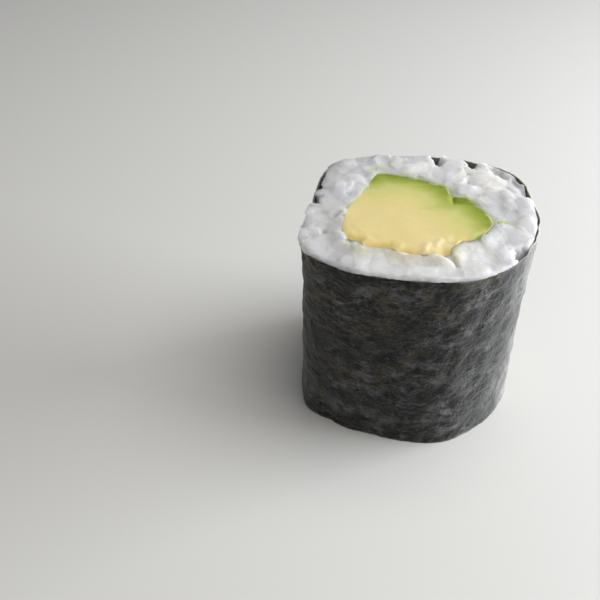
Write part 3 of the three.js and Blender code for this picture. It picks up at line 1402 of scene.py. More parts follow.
@dataclass
class RiceGrains:
    """The rice: real grains, cut by the knife at both ends, over a smaller core."""

    form: RollForm
    grains: Grains
    slab: float = 2.8
    pitches: tuple[float, float] = (0.14, 0.16)
    spring: float = 0.18
    groove: float = 0.03
    crease_width: float = 0.4
    softness: int = 2
    least_smear: float = 0.4
    smear: float = 0.85
    smear_softness: int = 20
    skin: float = 1.3
    pressed: float = 1.08
    swollen: float = 1.12
    tucked: float = 0.05
    overlaps: tuple[float, float] = (0.2, 0.12)
    overrun: float = 0.6
    core_overrun: float = 1.0
    sheet_gap: float = 0.45
    spill: float = 0.42
    core_columns: int = 240
    core_rings: int = 22
    flakes: int = 420
    flake_tip: float = 0.036
    flake_rise: float = 0.012
    sink: float = 0.45
    collar: float = 0.78

    def laid(self) -> Grains:
        """Makes the grains that lie on the upper cut.

        Returns:
            Those grains, without a tip.
        """
        columns = ([getattr(grain, part.name) for grain in LAID_GRAINS] for part in fields(LaidGrain))
        x, y, turn, half, girth, rise, tone = (np.array(column, float) for column in columns)
        turn = np.radians(turn)
        top = self.form.rice_level(x) + rise
        centre = np.stack([x, y, top - 0.85 * girth], axis=1)
        return Grains(centre, polar(turn, 1.0, 0.0), half, girth, tone, rise, np.zeros_like(centre))

    def _maker(self, name: str, finish: Material, fullness: float, smoothing: int) -> Maker:
        """The tree that puts a grain on every point and cuts the grains off at two heights.

        Args:
            name: Name of the tree.
            finish: The rice's material.
            fullness: How much fatter and longer the grains are made.
            smoothing: How many times the faces of a grain are divided.

        Returns:
            The tree, ready to run on points.
        """
        maker = Maker(
            name,
            {
                "Grain Around": 10,
                "Grain Along": 7,
                "Smoothing": smoothing,
                "Bluntness": 2.7,
                "Fullness": fullness,
                "Unevenness": 0.26,
                "Lumps per Millimetre": 0.7,
                "Spring": self.spring,
                "Finish": finish,
            },
        )
        graph = maker.graph
        counts = {"Segments": maker.given("Grain Around"), "Rings": maker.given("Grain Along")}
        ball = graph.add("GeometryNodeMeshUVSphere", None, {"Radius": 1.0, **counts}, "Mesh")
        x, y, z = graph.parts(maker.position())
        blunt = 1 - graph.math("ABSOLUTE", z) ** maker.given("Bluntness")
        fuller = (blunt / (1.0001 - z * z)) ** 0.5
        grain = maker.placed(ball, graph.combined(x * fuller, y * fuller, z))
        axis = maker.attribute("axis", "FLOAT_VECTOR")
        lie = graph.add("FunctionNodeAlignRotationToVector", {"axis": "Z"}, {"Vector": axis})
        size = graph.scaled(maker.attribute("size", "FLOAT_VECTOR"), maker.given("Fullness"))
        inputs = {"Mesh": maker.strewn(grain, lie, size), "Level": maker.given("Smoothing")}
        real = graph.add("GeometryNodeSubdivisionSurface", None, inputs)
        wobble = maker.lumps(maker.given("Lumps per Millimetre"), 2.0)
        real = maker.shifted(real, graph.scaled(wobble, maker.given("Unevenness") * 2))
        x, y, z = graph.parts(maker.position())
        slope = maker.attribute("slope", "FLOAT_VECTOR")
        tipped = graph.vector("DOT_PRODUCT", slope, maker.position()).out("Value")
        for way, name in ((1, "upper"), (-1, "lower")):
            level = maker.attribute(name) + tipped
            over = (z - level) * way
            above = graph.math("MAXIMUM", over, 0.0)
            faded = graph.math("EXPONENT", above / maker.given("Spring") * -1)
            sprung = maker.given("Spring") * (1 - faded)
            z = level + (graph.math("MINIMUM", over, 0.0) + sprung) * way
        z = graph.math("MAXIMUM", z, 0.0)
        maker.end(maker.placed(real, graph.combined(x, y, z)))
        return maker

    def _points(self, grains: Grains) -> Mesh:
        """A mesh of one loose point for each grain, which carries the grain's facts.

        Args:
            grains: The grains.

        Returns:
            The points, in millimetres.
        """
        mesh = mesh_of("grain_points", grains.centre.tolist())
        length = grains.half + grains.girth
        size = np.stack([grains.girth * 1.06, grains.girth * 0.96, length], axis=1)
        carry(mesh, axis=grains.axis, size=size, tone=grains.tone, slope=grains.slope)
        tipped = np.sum(grains.slope * grains.centre, axis=1)
        upper = self.form.rice_level(grains.centre[:, 0]) + grains.lift - self.spring * 0.6
        lower = self.spring + 0.5 * np.abs(grains.lift)
        carry(mesh, upper=upper - tipped, lower=lower - tipped)
        return mesh

    def made(
        self,
        name: str,
        grains: Grains,
        finish: Material,
        fullness: float = 1.0,
        smoothing: int = 0,
    ) -> Mesh:
        """Some grains in millimetres, as one mesh of closed shapes that may press into each other."""
        return self._maker(name, finish, fullness, smoothing).make(self._points(grains))

    def bed(self, finish: Material) -> Mesh:
        """All the grains in millimetres, a little swollen, for the sheet to lie on."""
        return self.made("grain_bed", self.grains, finish, self.swollen, 1)

    def core(self, low: float, high: float, outside: float, inside: float) -> Mesh:
        """A plain ring inside the rice, which fills the gaps between the grains.

        Args:
            low: Height of its underside.
            high: Height of its upper side.
            outside: How far it stays inside the sheet.
            inside: How far it stays clear of the avocado.

        Returns:
            A closed mesh in millimetres.
        """
        turns = np.arange(self.core_columns) / self.core_columns * TURN
        outer = self.form.rice_radius(turns, 0.5 * (low + high)) - outside
        inner = self.form.wedge_radius(turns) + inside
        across = [inner + (outer - inner) * share for share in np.linspace(0, 1, self.core_rings)]
        floor = [polar(turns, radius, low) for radius in across]
        roof = [polar(turns, radius, high) for radius in reversed(across)]
        if low < self.spring:
            for row in floor:
                row[:, 2] += self._dip(row)
        if high >= self.form.height:
            for row in roof:
                row[:, 2] = self.form.rice_level(row[:, 0]) - self._dip(row)
        return lofted("core", floor + roof, poles=False, ring=True)

    def _dip(self, points: np.ndarray) -> np.ndarray:
        """How far the mass between the grains lies below the cut, least of all beside the sheet.

        Args:
            points: Rows of x, y, z in millimetres.

        Returns:
            One value for each point.
        """
        shallow = 0.1 + 0.06 * field_noise(flattened(points), 1.8, 2.0)
        angle, radius = around(points)
        margin = self.form.rice_radius(angle, self.form.height) - radius
        return shallow * (0.3 + 0.7 * smooth(margin, 0.1, 1.4))

    def face(self, cut: Cut, finish: Material) -> Mesh:
        """The grains at one end, pressed into one sticky mass.

        Args:
            cut: Which end.
            finish: The rice's material.

        Returns:
            A mesh in metres that carries each grain's tone, with painted light along the front, and the
            creases between grains, with painted shade in the pits.
        """
        z = self.grains.centre[:, 2]
        height = self.form.height
        if cut is Cut.UPPER:
            members = self.grains.only(z > height - self.slab).with_more(self.laid())
            core = self.core(height - self.slab, height, self.tucked, -self.overlaps[0])
        else:
            members = self.grains.only(z < self.slab)
            core = self.core(0.0, self.slab, self.tucked, -self.overlaps[1])
        name = f"rice_{cut.name.lower()}"
        loose = self.made(name, members, finish, self.pressed, 1)
        skin = fused(joined(name, [loose, core]), self.pitches[cut is Cut.LOWER])
        edges = mesh_edges(skin)
        points = even_out(mesh_points(skin), edges, self.softness)
        smeared = smooth(field_noise(points, 4.2, 60.0), -0.2, 0.35)
        smeared = self.least_smear + (self.smear - self.least_smear) * smeared
        for grain in LAID_GRAINS if cut is Cut.UPPER else ():
            smeared *= 1 - bump(np.hypot(points[:, 0] - grain.x, points[:, 1] - grain.y), grain.half + 0.4)
        points += smeared[:, None] * (even_out(points, edges, self.smear_softness) - points)
        set_points(skin, points)
        tone, crease = self._nearest(points, members)
        crease = crease + smeared * (1 - crease)
        points = points - mesh_normals(skin) * (self.groove * (1 - crease))[:, None]
        points = self._held(points, cut)
        if cut is Cut.UPPER:
            pitted = self._pitted(points)
            points[:, 2] += self._flaked(points) + self._collared(points) - pitted
            # Painted shade in the pits, through the crease value.
            crease -= 2 * pitted
            # Whiter grains, with painted light along the front.
            tone += strongest(WHITE_SPOTS_AND_PAINTED_LIGHT, points)
        points[:, 2] = np.maximum(points[:, 2], 0)
        skin.name = name
        carry(skin, tone=tone, crease=crease, stain=self._stained(points))
        return finished(skin, points, finish)

    def _stained(self, points: np.ndarray) -> np.ndarray:
        """How much avocado the knife has rubbed into the rice: most beside the skin side.

        Args:
            points: Rows of x, y, z in millimetres.

        Returns:
            One value for each point.
        """
        margin = self.form.beyond_wedge(points)
        skin_side = 0.3 + 0.7 * SKIN_SIDE.share(around(points)[0])
        cloudy = 0.4 + 0.6 * smooth(field_noise(points, 1.3, 5.0), -0.25, 0.4)
        rubbed = 0.75 * skin_side * smooth(margin, 0.9, 0.0) * cloudy
        rubbed += 0.6 * smooth(-points[:, 1], 6.0, 8.5) * smooth(margin, 2.6, 0.1)
        return np.maximum(rubbed, strongest(STAINS, points) * cloudy)

    def _held(self, points: np.ndarray, cut: Cut) -> np.ndarray:
        """Keeps the rice inside the sheet, drawn back a little out of sight and spilling over on the left.

        Args:
            points: Rows of x, y, z in millimetres.
            cut: Which end the rice is at.

        Returns:
            The points, some of them moved towards or away from the axis.
        """
        angle, radius = around(points)
        below = self.form.height - points[:, 2] if cut is Cut.UPPER else points[:, 2]
        limit = self.form.rice_radius(angle, points[:, 2]) - 0.02 - 0.5 * smooth(below, 0.8, 2.6)
        if cut is Cut.LOWER:
            return polar(angle, np.minimum(radius, limit), points[:, 2])
        jagged = smooth(field_noise(points, 1.3, 44.0), -0.35, 0.3)
        limit -= (0.1 + 0.55 * jagged) * GAP_SIDE.share(angle) * smooth(below, 3.0, 0.6)
        whole = smooth(self._pitted(points), 0.3, 0.05)
        spill = SPILL_SIDE.share(angle) * smooth(below, 0.8, 0.1) * whole
        limit += (self.spill + 0.4 * field_noise(points, 2.2, 70.0)) * spill
        front = FRONT_SIDE.share(angle) * smooth(below, 0.85, 0.4)
        limit += (self.spill + 0.2 * field_noise(points, 1.3, 75.0)) * front * (1 - spill)
        radius = radius + 0.5 * np.maximum(spill, front) * smooth(radius, limit - 4.0, limit)
        return polar(angle, np.minimum(radius, limit), points[:, 2])

    def _pitted(self, points: np.ndarray) -> np.ndarray:
        """How deep some points lie in the small ragged gaps between grains.

        Args:
            points: Rows of x, y, z in millimetres.

        Returns:
            One value for each point.
        """
        ragged = 1 + 0.6 * field_noise(flattened(points, 0.2), 0.9, 12.0)
        sunk = self.sink * strongest(BESIDE_THE_RIM, points, ragged)
        return np.maximum(strongest(PITS, points, ragged), sunk) * self.form.near_cut(points)

    def _collared(self, points: np.ndarray) -> np.ndarray:
        """How far the rice is pressed up around the avocado, which stands proud towards the front.

        Args:
            points: Rows of x, y, z in millimetres.

        Returns:
            One value for each point.
        """
        uneven = 0.9 + 0.25 * field_noise(flattened(points, 0.2), 1.2, 97.0)
        beside = smooth(self.form.beyond_wedge(points), 2.4, 0.2) * self.form.near_cut(points)
        return self.collar * self.form.lean(points[:, 1]) * uneven * beside

    def _flaked(self, points: np.ndarray) -> np.ndarray:
        """Height of the flat flakes that the blade leaves, each tipped its own way, at some points.

        Args:
            points: Rows of x, y, z in millimetres.

        Returns:
            One value for each point.
        """
        rng = np.random.default_rng(SEED + 5)
        middles = rng.uniform(-16, 16, (self.flakes, 2))
        tips = rng.normal(0, self.flake_tip, (self.flakes, 2))
        rises = rng.normal(0, self.flake_rise, self.flakes)
        tree = KDTree(self.flakes)
        for number, (x, y) in enumerate(middles):
            tree.insert((x, y, 0.0), number)
        tree.balance()
        flat = flattened(points)
        bend = np.stack([field_noise(flat, 0.9, salt) for salt in (17.0, 19.0)], axis=1)
        places = points[:, :2] + 0.3 * bend
        nearest = np.array([tree.find((x, y, 0.0))[1] for x, y in places])
        height = rises[nearest] + np.sum(tips[nearest] * (places - middles[nearest]), axis=1)
        return height * self.form.near_cut(points, 1.5, 0.6)

    def _nearest(self, points: np.ndarray, members: Grains) -> tuple[np.ndarray, np.ndarray]:
        """The tone of the grain that each point belongs to, and how far the point is from a crease.

        Args:
            points: Rows of x, y, z in millimetres.
            members: The grains that may be near.

        Returns:
            The tones, and 0 in a crease to 1 well inside a grain.
        """
        shares = (-1.0, -0.6, -0.2, 0.2, 0.6, 1.0)
        tree = KDTree(len(members.centre) * len(shares))
        for order, share in enumerate(shares):
            for k, place in enumerate(members.along(share)):
                tree.insert(place, k * len(shares) + order)
        tree.balance()
        tone = np.empty(len(points))
        crease = np.empty(len(points))
        for row, point in enumerate(points):
            found = tree.find_n(point, 8)
            first = found[0][1] // len(shares)
            other = next((d for _, k, d in found if k // len(shares) != first), found[-1][2] + 1)
            tone[row] = members.tone[first]
            crease[row] = other - found[0][2]
        return tone, smooth(crease, 0.0, self.crease_width)

    def between(self, finish: Material) -> tuple[Mesh, Mesh]:
        """The loose grains between the two ends, and the plain core beneath them.

        Args:
            finish: The rice's material.

        Returns:
            The grains and the core, in metres.
        """
        z = self.grains.centre[:, 2]
        low, high = self.slab, self.form.height - self.slab
        inside = (z >= low - self.overrun) & (z <= high + self.overrun)
        loose = self.made("rice_middle", self.grains.only(inside), finish)
        core = self.core(low - self.core_overrun, high + self.core_overrun, self.skin, self.skin)
        core.name = "rice_core"
        carry(core, tone=np.full(len(core.vertices), 0.5))
        # The tree has already given the loose grains their material.
        for mesh, material in ((loose, None), (core, finish)):
            points = mesh_points(mesh)
            carry(mesh, crease=np.ones(len(points)))
            finished(mesh, self._within(points), material)
        return loose, core

    def _within(self, points: np.ndarray) -> np.ndarray:
        """Points drawn in to the inside of the sheet and out of the avocado.

        Args:
            points: Rows of x, y, z in millimetres.

        Returns:
            The points, some of them moved.
        """
        angle, radius = around(points)
        outer = self.form.rice_radius(angle, points[:, 2]) - self.sheet_gap
        inner = self.form.wedge_radius(angle) + self.tucked
        return polar(angle, np.clip(radius, inner, outer), points[:, 2])


# ---------------- avocado


# Pale smears of flesh that stand a little proud, whose colour is partly painted highlight.
SMEARS_AND_HIGHLIGHTS = (
    Streak((0.2, -7.5), (-0.4, -8.9), 0.4, 1.0),
    Streak((1.75, -6.7), (1.25, -7.6), 0.42, 1.0),
    Streak((2.9, -6.2), (2.7, -6.7), 0.55, 0.5),
)

GREEN_FLECKS = (
    Streak((6.2, -6.3), (7.1, -5.5), 0.45, 1.0),
    Streak((8.0, -4.2), (8.5, -3.2), 0.5, 0.6),
)

# Shallow hollows in the cut face, which also get painted shade in ochre.
HOLLOWS = (
    Streak((-2.8, -9.2), (-1.1, -9.2), 0.75, 1.0),
    Streak((2.0, -9.0), (2.8, -9.1), 0.7, 1.0),
    Streak((-6.8, -8.0), (-4.6, -7.8), 0.75, 0.9),
    Streak((-9.2, -5.9), (-7.6, -6.6), 0.6, 0.8),
)


@dataclass
class AvocadoWedge:
    """The wedge of avocado: soft, cut flat by the knife, and crumbling along its front edge."""

    form: RollForm
    columns: int = 380
    floor_rings: int = 16
    bend_rings: int = 6
    wall_rings: int = 8
    upper_wall_rings: int = 16
    crown_rings: int = 52
    edge_round: float = 0.06
    proud: float = -0.08
    smear_rise: float = 0.09
    hollow_depth: float = 0.2
    skin_from: float = -22.0
    skin_to: float = 124.0
    nick: float = 36.0
    nick_reach: float = 2.9

    def top(self, points: np.ndarray) -> np.ndarray:
        """Height of the cut face at some points.

        Args:
            points: Rows of x, y, z in millimetres.

        Returns:
            One value for each point.
        """
        x, y = points[:, 0], points[:, 1]
        angle, radius = around(points)
        share = radius / np.maximum(self.form.wedge_radius(angle), 1e-6)
        along_the_blade = np.stack([0.5 * x + 0.1 * y, y - 0.15 * x, np.zeros_like(x)], axis=1)
        drag = 0.022 * field_noise(along_the_blade, 1.5, 3.0, 3)
        swell = 0.05 * field_noise(flattened(points), 4.2, 8.0, 1)
        uneven = smooth(field_noise(flattened(points), 1.7, 14.0), -0.1, 0.5)
        worn = smooth(share, 0.94, 1.0) * 0.12 * uneven
        height = self.form.rice_level(x) + self.proud + self.form.lean(y) + drag + swell - worn
        across, run = self._score(x, y)
        height -= 0.16 * bump(across, 0.14) * run
        height += self.smear_rise * strongest(SMEARS_AND_HIGHLIGHTS, points)
        return height - self.hollow_depth * strongest(HOLLOWS, points)

    def _score(self, x: np.ndarray, y: np.ndarray) -> tuple[np.ndarray, np.ndarray]:
        """Where points lie beside the shallow slit that runs in from the nick on the skin side.

        Args:
            x: Their places from left to right.
            y: Their places from front to back.

        Returns:
            How far to the right of the slit they lie, and 1 along its length fading to 0 at its ends.
        """
        turn = math.radians(self.nick)
        radius = float(self.form.wedge_radius(turn))
        inward = radius * math.sin(turn) - y
        across = x - radius * math.cos(turn) + 0.1 * inward
        return across, smooth(inward, self.nick_reach, 0.3 * self.nick_reach) * smooth(inward, -1.4, -0.6)

    def _ring(self, inset: float, share: float, z: float) -> np.ndarray:
        """A ring of points at one height, inset from the outline and drawn to a share of its radius."""
        turns = np.arange(self.columns) / self.columns * TURN
        return polar(turns, (self.form.wedge_radius(turns) - inset) * share, z)

    def _hung(self, inset: float, share: float, drop: float) -> np.ndarray:
        """One ring of points that follows the cut face.

        Args:
            inset: How far it lies inside the outline.
            share: How far in towards the axis it is drawn, from 1 at the outline to 0.
            drop: How far below the cut face it lies.

        Returns:
            The points.
        """
        points = self._ring(inset, share, 0.0)
        points[:, 2] = self.top(points) - drop
        return points

    def mesh(self, finish: Material) -> Mesh:
        """The whole wedge, from the middle of its underside outwards, up the wall and in over the cut face.

        Args:
            finish: The avocado's material.

        Returns:
            A closed mesh in metres, with the distance from the skin side on every point.
        """
        edge = self.edge_round
        bend = np.radians(np.linspace(0, 90, self.bend_rings))
        floor = np.linspace(0.03, 0.97, self.floor_rings)
        wall = np.linspace(2.0, self.form.height - 4.0, self.wall_rings)
        drops = np.linspace(3.6, edge + 0.15, self.upper_wall_rings)
        shares = np.linspace(1, 0, self.crown_rings + 1)[1:-1] ** 0.9
        rows = [self._ring(edge, share, 0.0) for share in floor]
        rows += [self._ring(edge * (1 - math.sin(b)), 1.0, 0.3 * (1 - math.cos(b))) for b in bend]
        rows += [self._ring(0.0, 1.0, z) for z in wall]
        rows += [self._hung(0.0, 1.0, drop) for drop in drops]
        rows += [self._hung(edge * (1 - math.cos(b)), 1.0, edge * (1 - math.sin(b))) for b in bend]
        rows += [self._hung(edge, share, 0.0) for share in shares]
        mesh = lofted("avocado", rows, poles=True)
        points = self._crumbled(mesh_points(mesh))
        self._colour(mesh, points)
        return finished(mesh, points, finish)

    def _crumbled(self, points: np.ndarray) -> np.ndarray:
        """Roughens the wall near the cut, most of all on the knife side at the front.

        Args:
            points: Rows of x, y, z in millimetres.

        Returns:
            The moved points.
        """
        angle, radius = around(points)
        near_wall = smooth(radius / self.form.wedge_radius(angle), 0.66, 0.97)
        front = smooth(-points[:, 1], 2.0, 6.0)
        rough = (0.04 + 0.15 * front) * self.form.near_cut(points, 3.0, 0.3) * near_wall
        out = polar(angle, 1.0, 0.0)
        lumps = field_noise(points, 2.2, 21.0, 2) + 0.6 * field_noise(points, 0.8, 27.0, 2)
        points = points + out * (rough * lumps)[:, None]
        points[:, 2] += 0.35 * rough * field_noise(points, 1.1, 33.0, 2) * (points[:, 2] > 1)
        return points

    def _colour(self, mesh: Mesh, points: np.ndarray) -> None:
        """Stores the distance from the skin side, painted shade in ochre on the front wall and in the
        hollows, and the pale smears, which also carry painted highlights.

        Args:
            mesh: The wedge.
            points: Its vertices in millimetres.
        """
        x, y = points[:, 0], points[:, 1]
        skin_turns = np.radians(np.linspace(self.skin_from, self.skin_to, 80))
        arc = polar(skin_turns, self.form.wedge_radius(skin_turns), 0.0)[:, :2]
        depth = np.linalg.norm(points[:, None, :2] - arc[None], axis=2).min(axis=1)
        depth *= 1 - 0.32 * bump(around(points)[0] - math.radians(10), 0.5)
        across, run = self._score(x, y)
        # Paler left of the slit as painted light, where its wall faces the lamp; greener right of it.
        depth += run * (1.3 * bump(across + 0.35, 0.35) - 1.7 * bump(across - 0.7, 0.8))
        depth *= 1 - strongest(GREEN_FLECKS, points)
        drop = self.top(points) - points[:, 2]
        patchy = 0.35 + 0.65 * smooth(field_noise(points, 1.5, 52.0), -0.35, 0.25)
        margin = -self.form.beyond_wedge(points)
        # Painted shade in ochre where the surface drops away at the front lip.
        lip = np.maximum(smooth(drop, 0.0, 0.3), 0.45 * smooth(margin, 0.9, 0.2))
        ochre = lip * smooth(-y, 1.0, 4.0) * patchy
        # A pale band at the front, partly painted highlight.
        pale = 0.3 * smooth(-y, 4.5, 7.5) * smooth(np.abs(x - 1.2), 3.0, 0.5)
        rubbed = smooth(field_noise(points, 1.0, 57.0), -0.3, 0.4) * smooth(y, -6.0, -3.0)
        carry(
            mesh,
            skin=np.maximum(depth, 0),
            # Painted shade in ochre on the front wall and in the hollows.
            edge=np.maximum(ochre, strongest(HOLLOWS, points)),
            # Pale smears, partly painted highlight.
            smear=np.maximum(pale, strongest(SMEARS_AND_HIGHLIGHTS, points)),
            starch=rubbed * smooth(margin, 0.45, 0.05),
        )


@dataclass(frozen=True)
class Crumb:
    """A bit of avocado on the rice: its place, its size and how far from the skin it came."""

    x: float
    y: float
    size: float
    depth: float


CRUMBS = (
    Crumb(9.2, -2.7, 0.16, 2.6),
    Crumb(9.6, -2.5, 0.1, 2.2),
    Crumb(9.9, -3.0, 0.14, 2.4),
    Crumb(10.4, -3.2, 0.09, 2.2),
    Crumb(1.3, -10.9, 0.1, 2.6),
    Crumb(-4.4, 8.9, 0.1, 2.6),
)


@dataclass
class AvocadoCrumbs:
    """Bits of avocado that the blade has carried onto the rice."""

    form: RollForm
    tiny: int = 6
    tiny_size: float = 0.06

    def _maker(self, finish: Material) -> Maker:
        """The tree that puts a small dented lump on every point.

        Args:
            finish: The avocado's material.

        Returns:
            The tree, ready to run on points.
        """
        maker = Maker(
            "avocado_crumbs",
            {
                "Divisions": 2,
                "Dents": 0.7,
                "Dent Size": 1.1,
                "Length": 1.3,
                "Flatness": 0.45,
                "Seed": SEED,
                "Finish": finish,
            },
        )
        graph = maker.graph
        inputs = {"Radius": 1.0, "Subdivisions": maker.given("Divisions")}
        ball = graph.add("GeometryNodeMeshIcoSphere", None, inputs, "Mesh")
        inputs = {"Max": (0.5, 0.5, TURN), "Seed": maker.given("Seed")}
        spin = graph.add("FunctionNodeRandomValue", {"data_type": "FLOAT_VECTOR"}, inputs, "Value")
        size = maker.attribute("size")
        scale = graph.combined(size * maker.given("Length"), size, size * maker.given("Flatness"))
        real = maker.strewn(ball, spin, scale)
        dent = maker.lumps(maker.given("Dent Size") / size, 1.0)
        maker.end(maker.shifted(real, graph.scaled(dent, size * maker.given("Dents") * 2)))
        return maker

    def mesh(self, bed: Mesh, finish: Material) -> Mesh:
        """The crumbs in metres.

        Args:
            bed: The rice that they lie on, in metres.
            finish: The avocado's material.

        Returns:
            One mesh of closed lumps that carry their distance from the skin.
        """
        rng = np.random.default_rng(SEED + 2)
        angle = rng.uniform(-0.6, 2.2, self.tiny)
        radius = self.form.wedge_radius(angle) + rng.gamma(2.0, 0.35, self.tiny)
        sizes = self.tiny_size * rng.uniform(0.6, 1.3, self.tiny)
        depths = rng.uniform(2.0, 4.5, self.tiny)
        spots = [(c.x, c.y, c.size, c.depth) for c in CRUMBS]
        spots += zip(radius * np.cos(angle), radius * np.sin(angle), sizes, depths)
        x, y, size, depth = np.array(spots).T
        corners = [v.co / METRES for v in bed.vertices]
        tree = BVHTree.FromPolygons(corners, [tuple(p.vertices) for p in bed.polygons])
        above = self.form.height + 5.0
        z = [tree.ray_cast(Vector((a, b, above)), Vector((0, 0, -1)))[0].z for a, b in zip(x, y)]
        points = mesh_of("crumb_points", np.stack([x, y, np.array(z) + 0.1 * size], axis=1).tolist())
        carry(points, size=size, skin=depth)
        mesh = self._maker(finish).make(points)
        return finished(mesh, mesh_points(mesh))


# ---------------- nori


@dataclass
class NoriWrap:
    """The sheet of nori: wound once round the rice and lapped over itself on the far side."""

    form: RollForm
    thickness: float = 0.17
    clearance: float = 0.08
    seam: float = 84.0
    lap: float = 52.0
    ramp: float = 9.0
    columns: int = 440
    rows: int = 96
    path_points: int = 420
    rim_drop: float = 0.36
    rim_clear: float = 0.14
    front_dip: float = 0.16

    def _rim(self, angle: np.ndarray) -> np.ndarray:
        """Height of the upper edge, which stands just clear of the rice at the back and on the right.

        Args:
            angle: The directions.

        Returns:
            The heights.
        """
        level = self.form.rice_level(self.form.rice_radius(angle, self.form.height) * np.cos(angle))
        level -= self.front_dip * FRONT_SIDE.share(angle)
        wave = self.form.rim_height(angle) - self.form.rim.mean()
        return level - self.rim_drop + self.rim_clear * HIGH_RIM_SIDE.share(angle) + 0.4 * wave

    def _path(self, name: str, z: Callable[[np.ndarray], Number]) -> Object:
        """The sheet's outer face at one height, from its inner end to its outer end.

        Args:
            name: Name of the curve.
            z: The height at each angle.

        Returns:
            An object that holds the path as a curve.
        """
        travelled = np.linspace(0, TURN + math.radians(self.lap), self.path_points)
        angle = math.radians(self.seam) + travelled
        climb = smooth(travelled, TURN - math.radians(self.ramp), TURN - math.radians(1))
        height = z(angle) * np.ones_like(angle)
        lift = climb * (self.thickness + self.clearance)
        radius = self.form.rice_radius(angle, height) + self.clearance + self.thickness + lift
        curve = bpy.data.curves.new(name, "CURVE")
        curve.dimensions = "3D"
        line = curve.splines.new("POLY")
        line.points.add(len(angle) - 1)
        points = polar(angle, radius, height)
        line.points.foreach_set("co", np.hstack([points, np.ones((len(points), 1))]).ravel())
        return object_of(name, curve)

    def _maker(self, grains: Object, finish: Material) -> Maker:
        """The tree that winds a flat sheet along the paths and presses it onto the grains.

        Args:
            grains: An object that holds the grains.
            finish: The nori's material.

        Returns:
            The tree, which starts from nothing.
        """
        height = self.form.height
        girdle = float(np.mean(self.form.wall)) * (TURN + math.radians(self.lap))
        maker = Maker(
            "nori_sheet",
            {
                "Base Path": self._path("base_path", lambda angle: 0.0),
                "Waist Path": self._path("waist_path", lambda angle: height / 2),
                "Rim Path": self._path("rim_path", self._rim),
                "Grains": grains,
                "Columns": self.columns,
                "Rows": self.rows,
                "Length": girdle,
                "Height": float(height),
                "Thickness": self.thickness,
                "Cling": 0.4,
                "Deepest Cling": 0.25,
                "Easing": 6,
                "Slack": 0.14,
                "Wrinkle Size": 1.9,
                "Wrinkle Depth": 0.5,
                "Buckle Size": 4.0,
                "Buckle Depth": 0.34,
                "Rim Unevenness": 0.26,
                "Finish": finish,
            },
        )
        graph = maker.graph
        counts = {"Vertices X": maker.given("Columns"), "Vertices Y": maker.given("Rows")}
        flat = graph.add("GeometryNodeMeshGrid", None, {"Size X": 1.0, "Size Y": 1.0, **counts}, "Mesh")
        x, y, _ = graph.parts(maker.position())
        along, up = x + 0.5, y + 0.5
        spread = graph.combined(along * maker.given("Length"), up * maker.given("Height"), 0.0)
        flat = maker.stored(flat, "sheet", "FLOAT_VECTOR", spread)
        flat = maker.stored(flat, "up", "FLOAT", up)
        weights = {
            "Base Path": (1 - up) * (1 - up * 2),
            "Waist Path": up * (1 - up) * 4,
            "Rim Path": up * (up * 2 - 1),
        }
        wound = (0.0, 0.0, 0.0)
        for label, weight in weights.items():
            inputs = {"Curves": maker.shape_of(label), "Factor": along}
            place = graph.add("GeometryNodeSampleCurve", {"mode": "FACTOR"}, inputs, "Position")
            wound = graph.vector("ADD", wound, graph.scaled(place, weight))
        sheet = self._clung(maker, maker.placed(flat, wound))
        maker.end(self._thickened(maker, self._torn(maker, sheet)))
        return maker

    def _clung(self, maker: Maker, sheet: Wire) -> Wire:
        """The sheet drawn into the dips between the grains, with buckles and fine wrinkles over that.

        Args:
            maker: The tree.
            sheet: The wound sheet.

        Returns:
            The moved sheet.
        """
        graph = maker.graph
        normal = graph.add("GeometryNodeInputNormal")
        inner = graph.vector("SUBTRACT", maker.position(), graph.scaled(normal, maker.given("Thickness")))
        near = graph.add(
            "GeometryNodeProximity",
            {"target_element": "FACES"},
            {"Target": maker.shape_of("Grains"), "Source Position": inner},
            "Distance",
        )
        depth = graph.math("MINIMUM", near * maker.given("Cling"), maker.given("Deepest Cling"))
        inputs = {"Value": depth, "Iterations": maker.given("Easing")}
        eased = graph.add("GeometryNodeBlurAttribute", {"data_type": "FLOAT"}, inputs)
        drawn = graph.vector("MULTIPLY", maker.position(), (1.0, 1.0, 1.35))
        wrinkle = graph.cloud(drawn, maker.given("Wrinkle Size"), 5.0, 0.68, 0.6) - 0.5
        buckle = graph.cloud(drawn, maker.given("Buckle Size"), 1.0, 0.5, 0.3) - 0.5
        inward = eased + wrinkle * maker.given("Wrinkle Depth") + buckle * maker.given("Buckle Depth")
        return maker.shifted(sheet, graph.scaled(normal, maker.given("Slack") - inward))

    def _torn(self, maker: Maker, sheet: Wire) -> Wire:
        """The sheet with its upper rim a little ragged.

        Args:
            maker: The tree.
            sheet: The wound sheet.

        Returns:
            The moved sheet.
        """
        graph = maker.graph
        ragged = (graph.cloud(maker.position(), 0.9, 3.0, 0.6) - 0.5) * maker.given("Rim Unevenness")
        raised = ragged * graph.step(maker.attribute("up"), 0.97, 1.0)
        return maker.shifted(sheet, graph.combined(0.0, 0.0, raised))

    def _thickened(self, maker: Maker, sheet: Wire) -> Wire:
        """The sheet with its two faces and its edges.

        Args:
            maker: The tree.
            sheet: The outer face.

        Returns:
            A closed sheet.
        """
        graph = maker.graph
        back = graph.add("GeometryNodeFlipFaces", None, {0: sheet})
        inputs = {"Mesh": back, "Offset Scale": maker.given("Thickness"), "Individual": False}
        pressed = graph.add("GeometryNodeExtrudeMesh", {"mode": "FACES"}, inputs, "Mesh")
        both = maker.together(pressed, sheet)
        return graph.add("GeometryNodeMergeByDistance", None, {"Geometry": both, "Distance": 0.002})

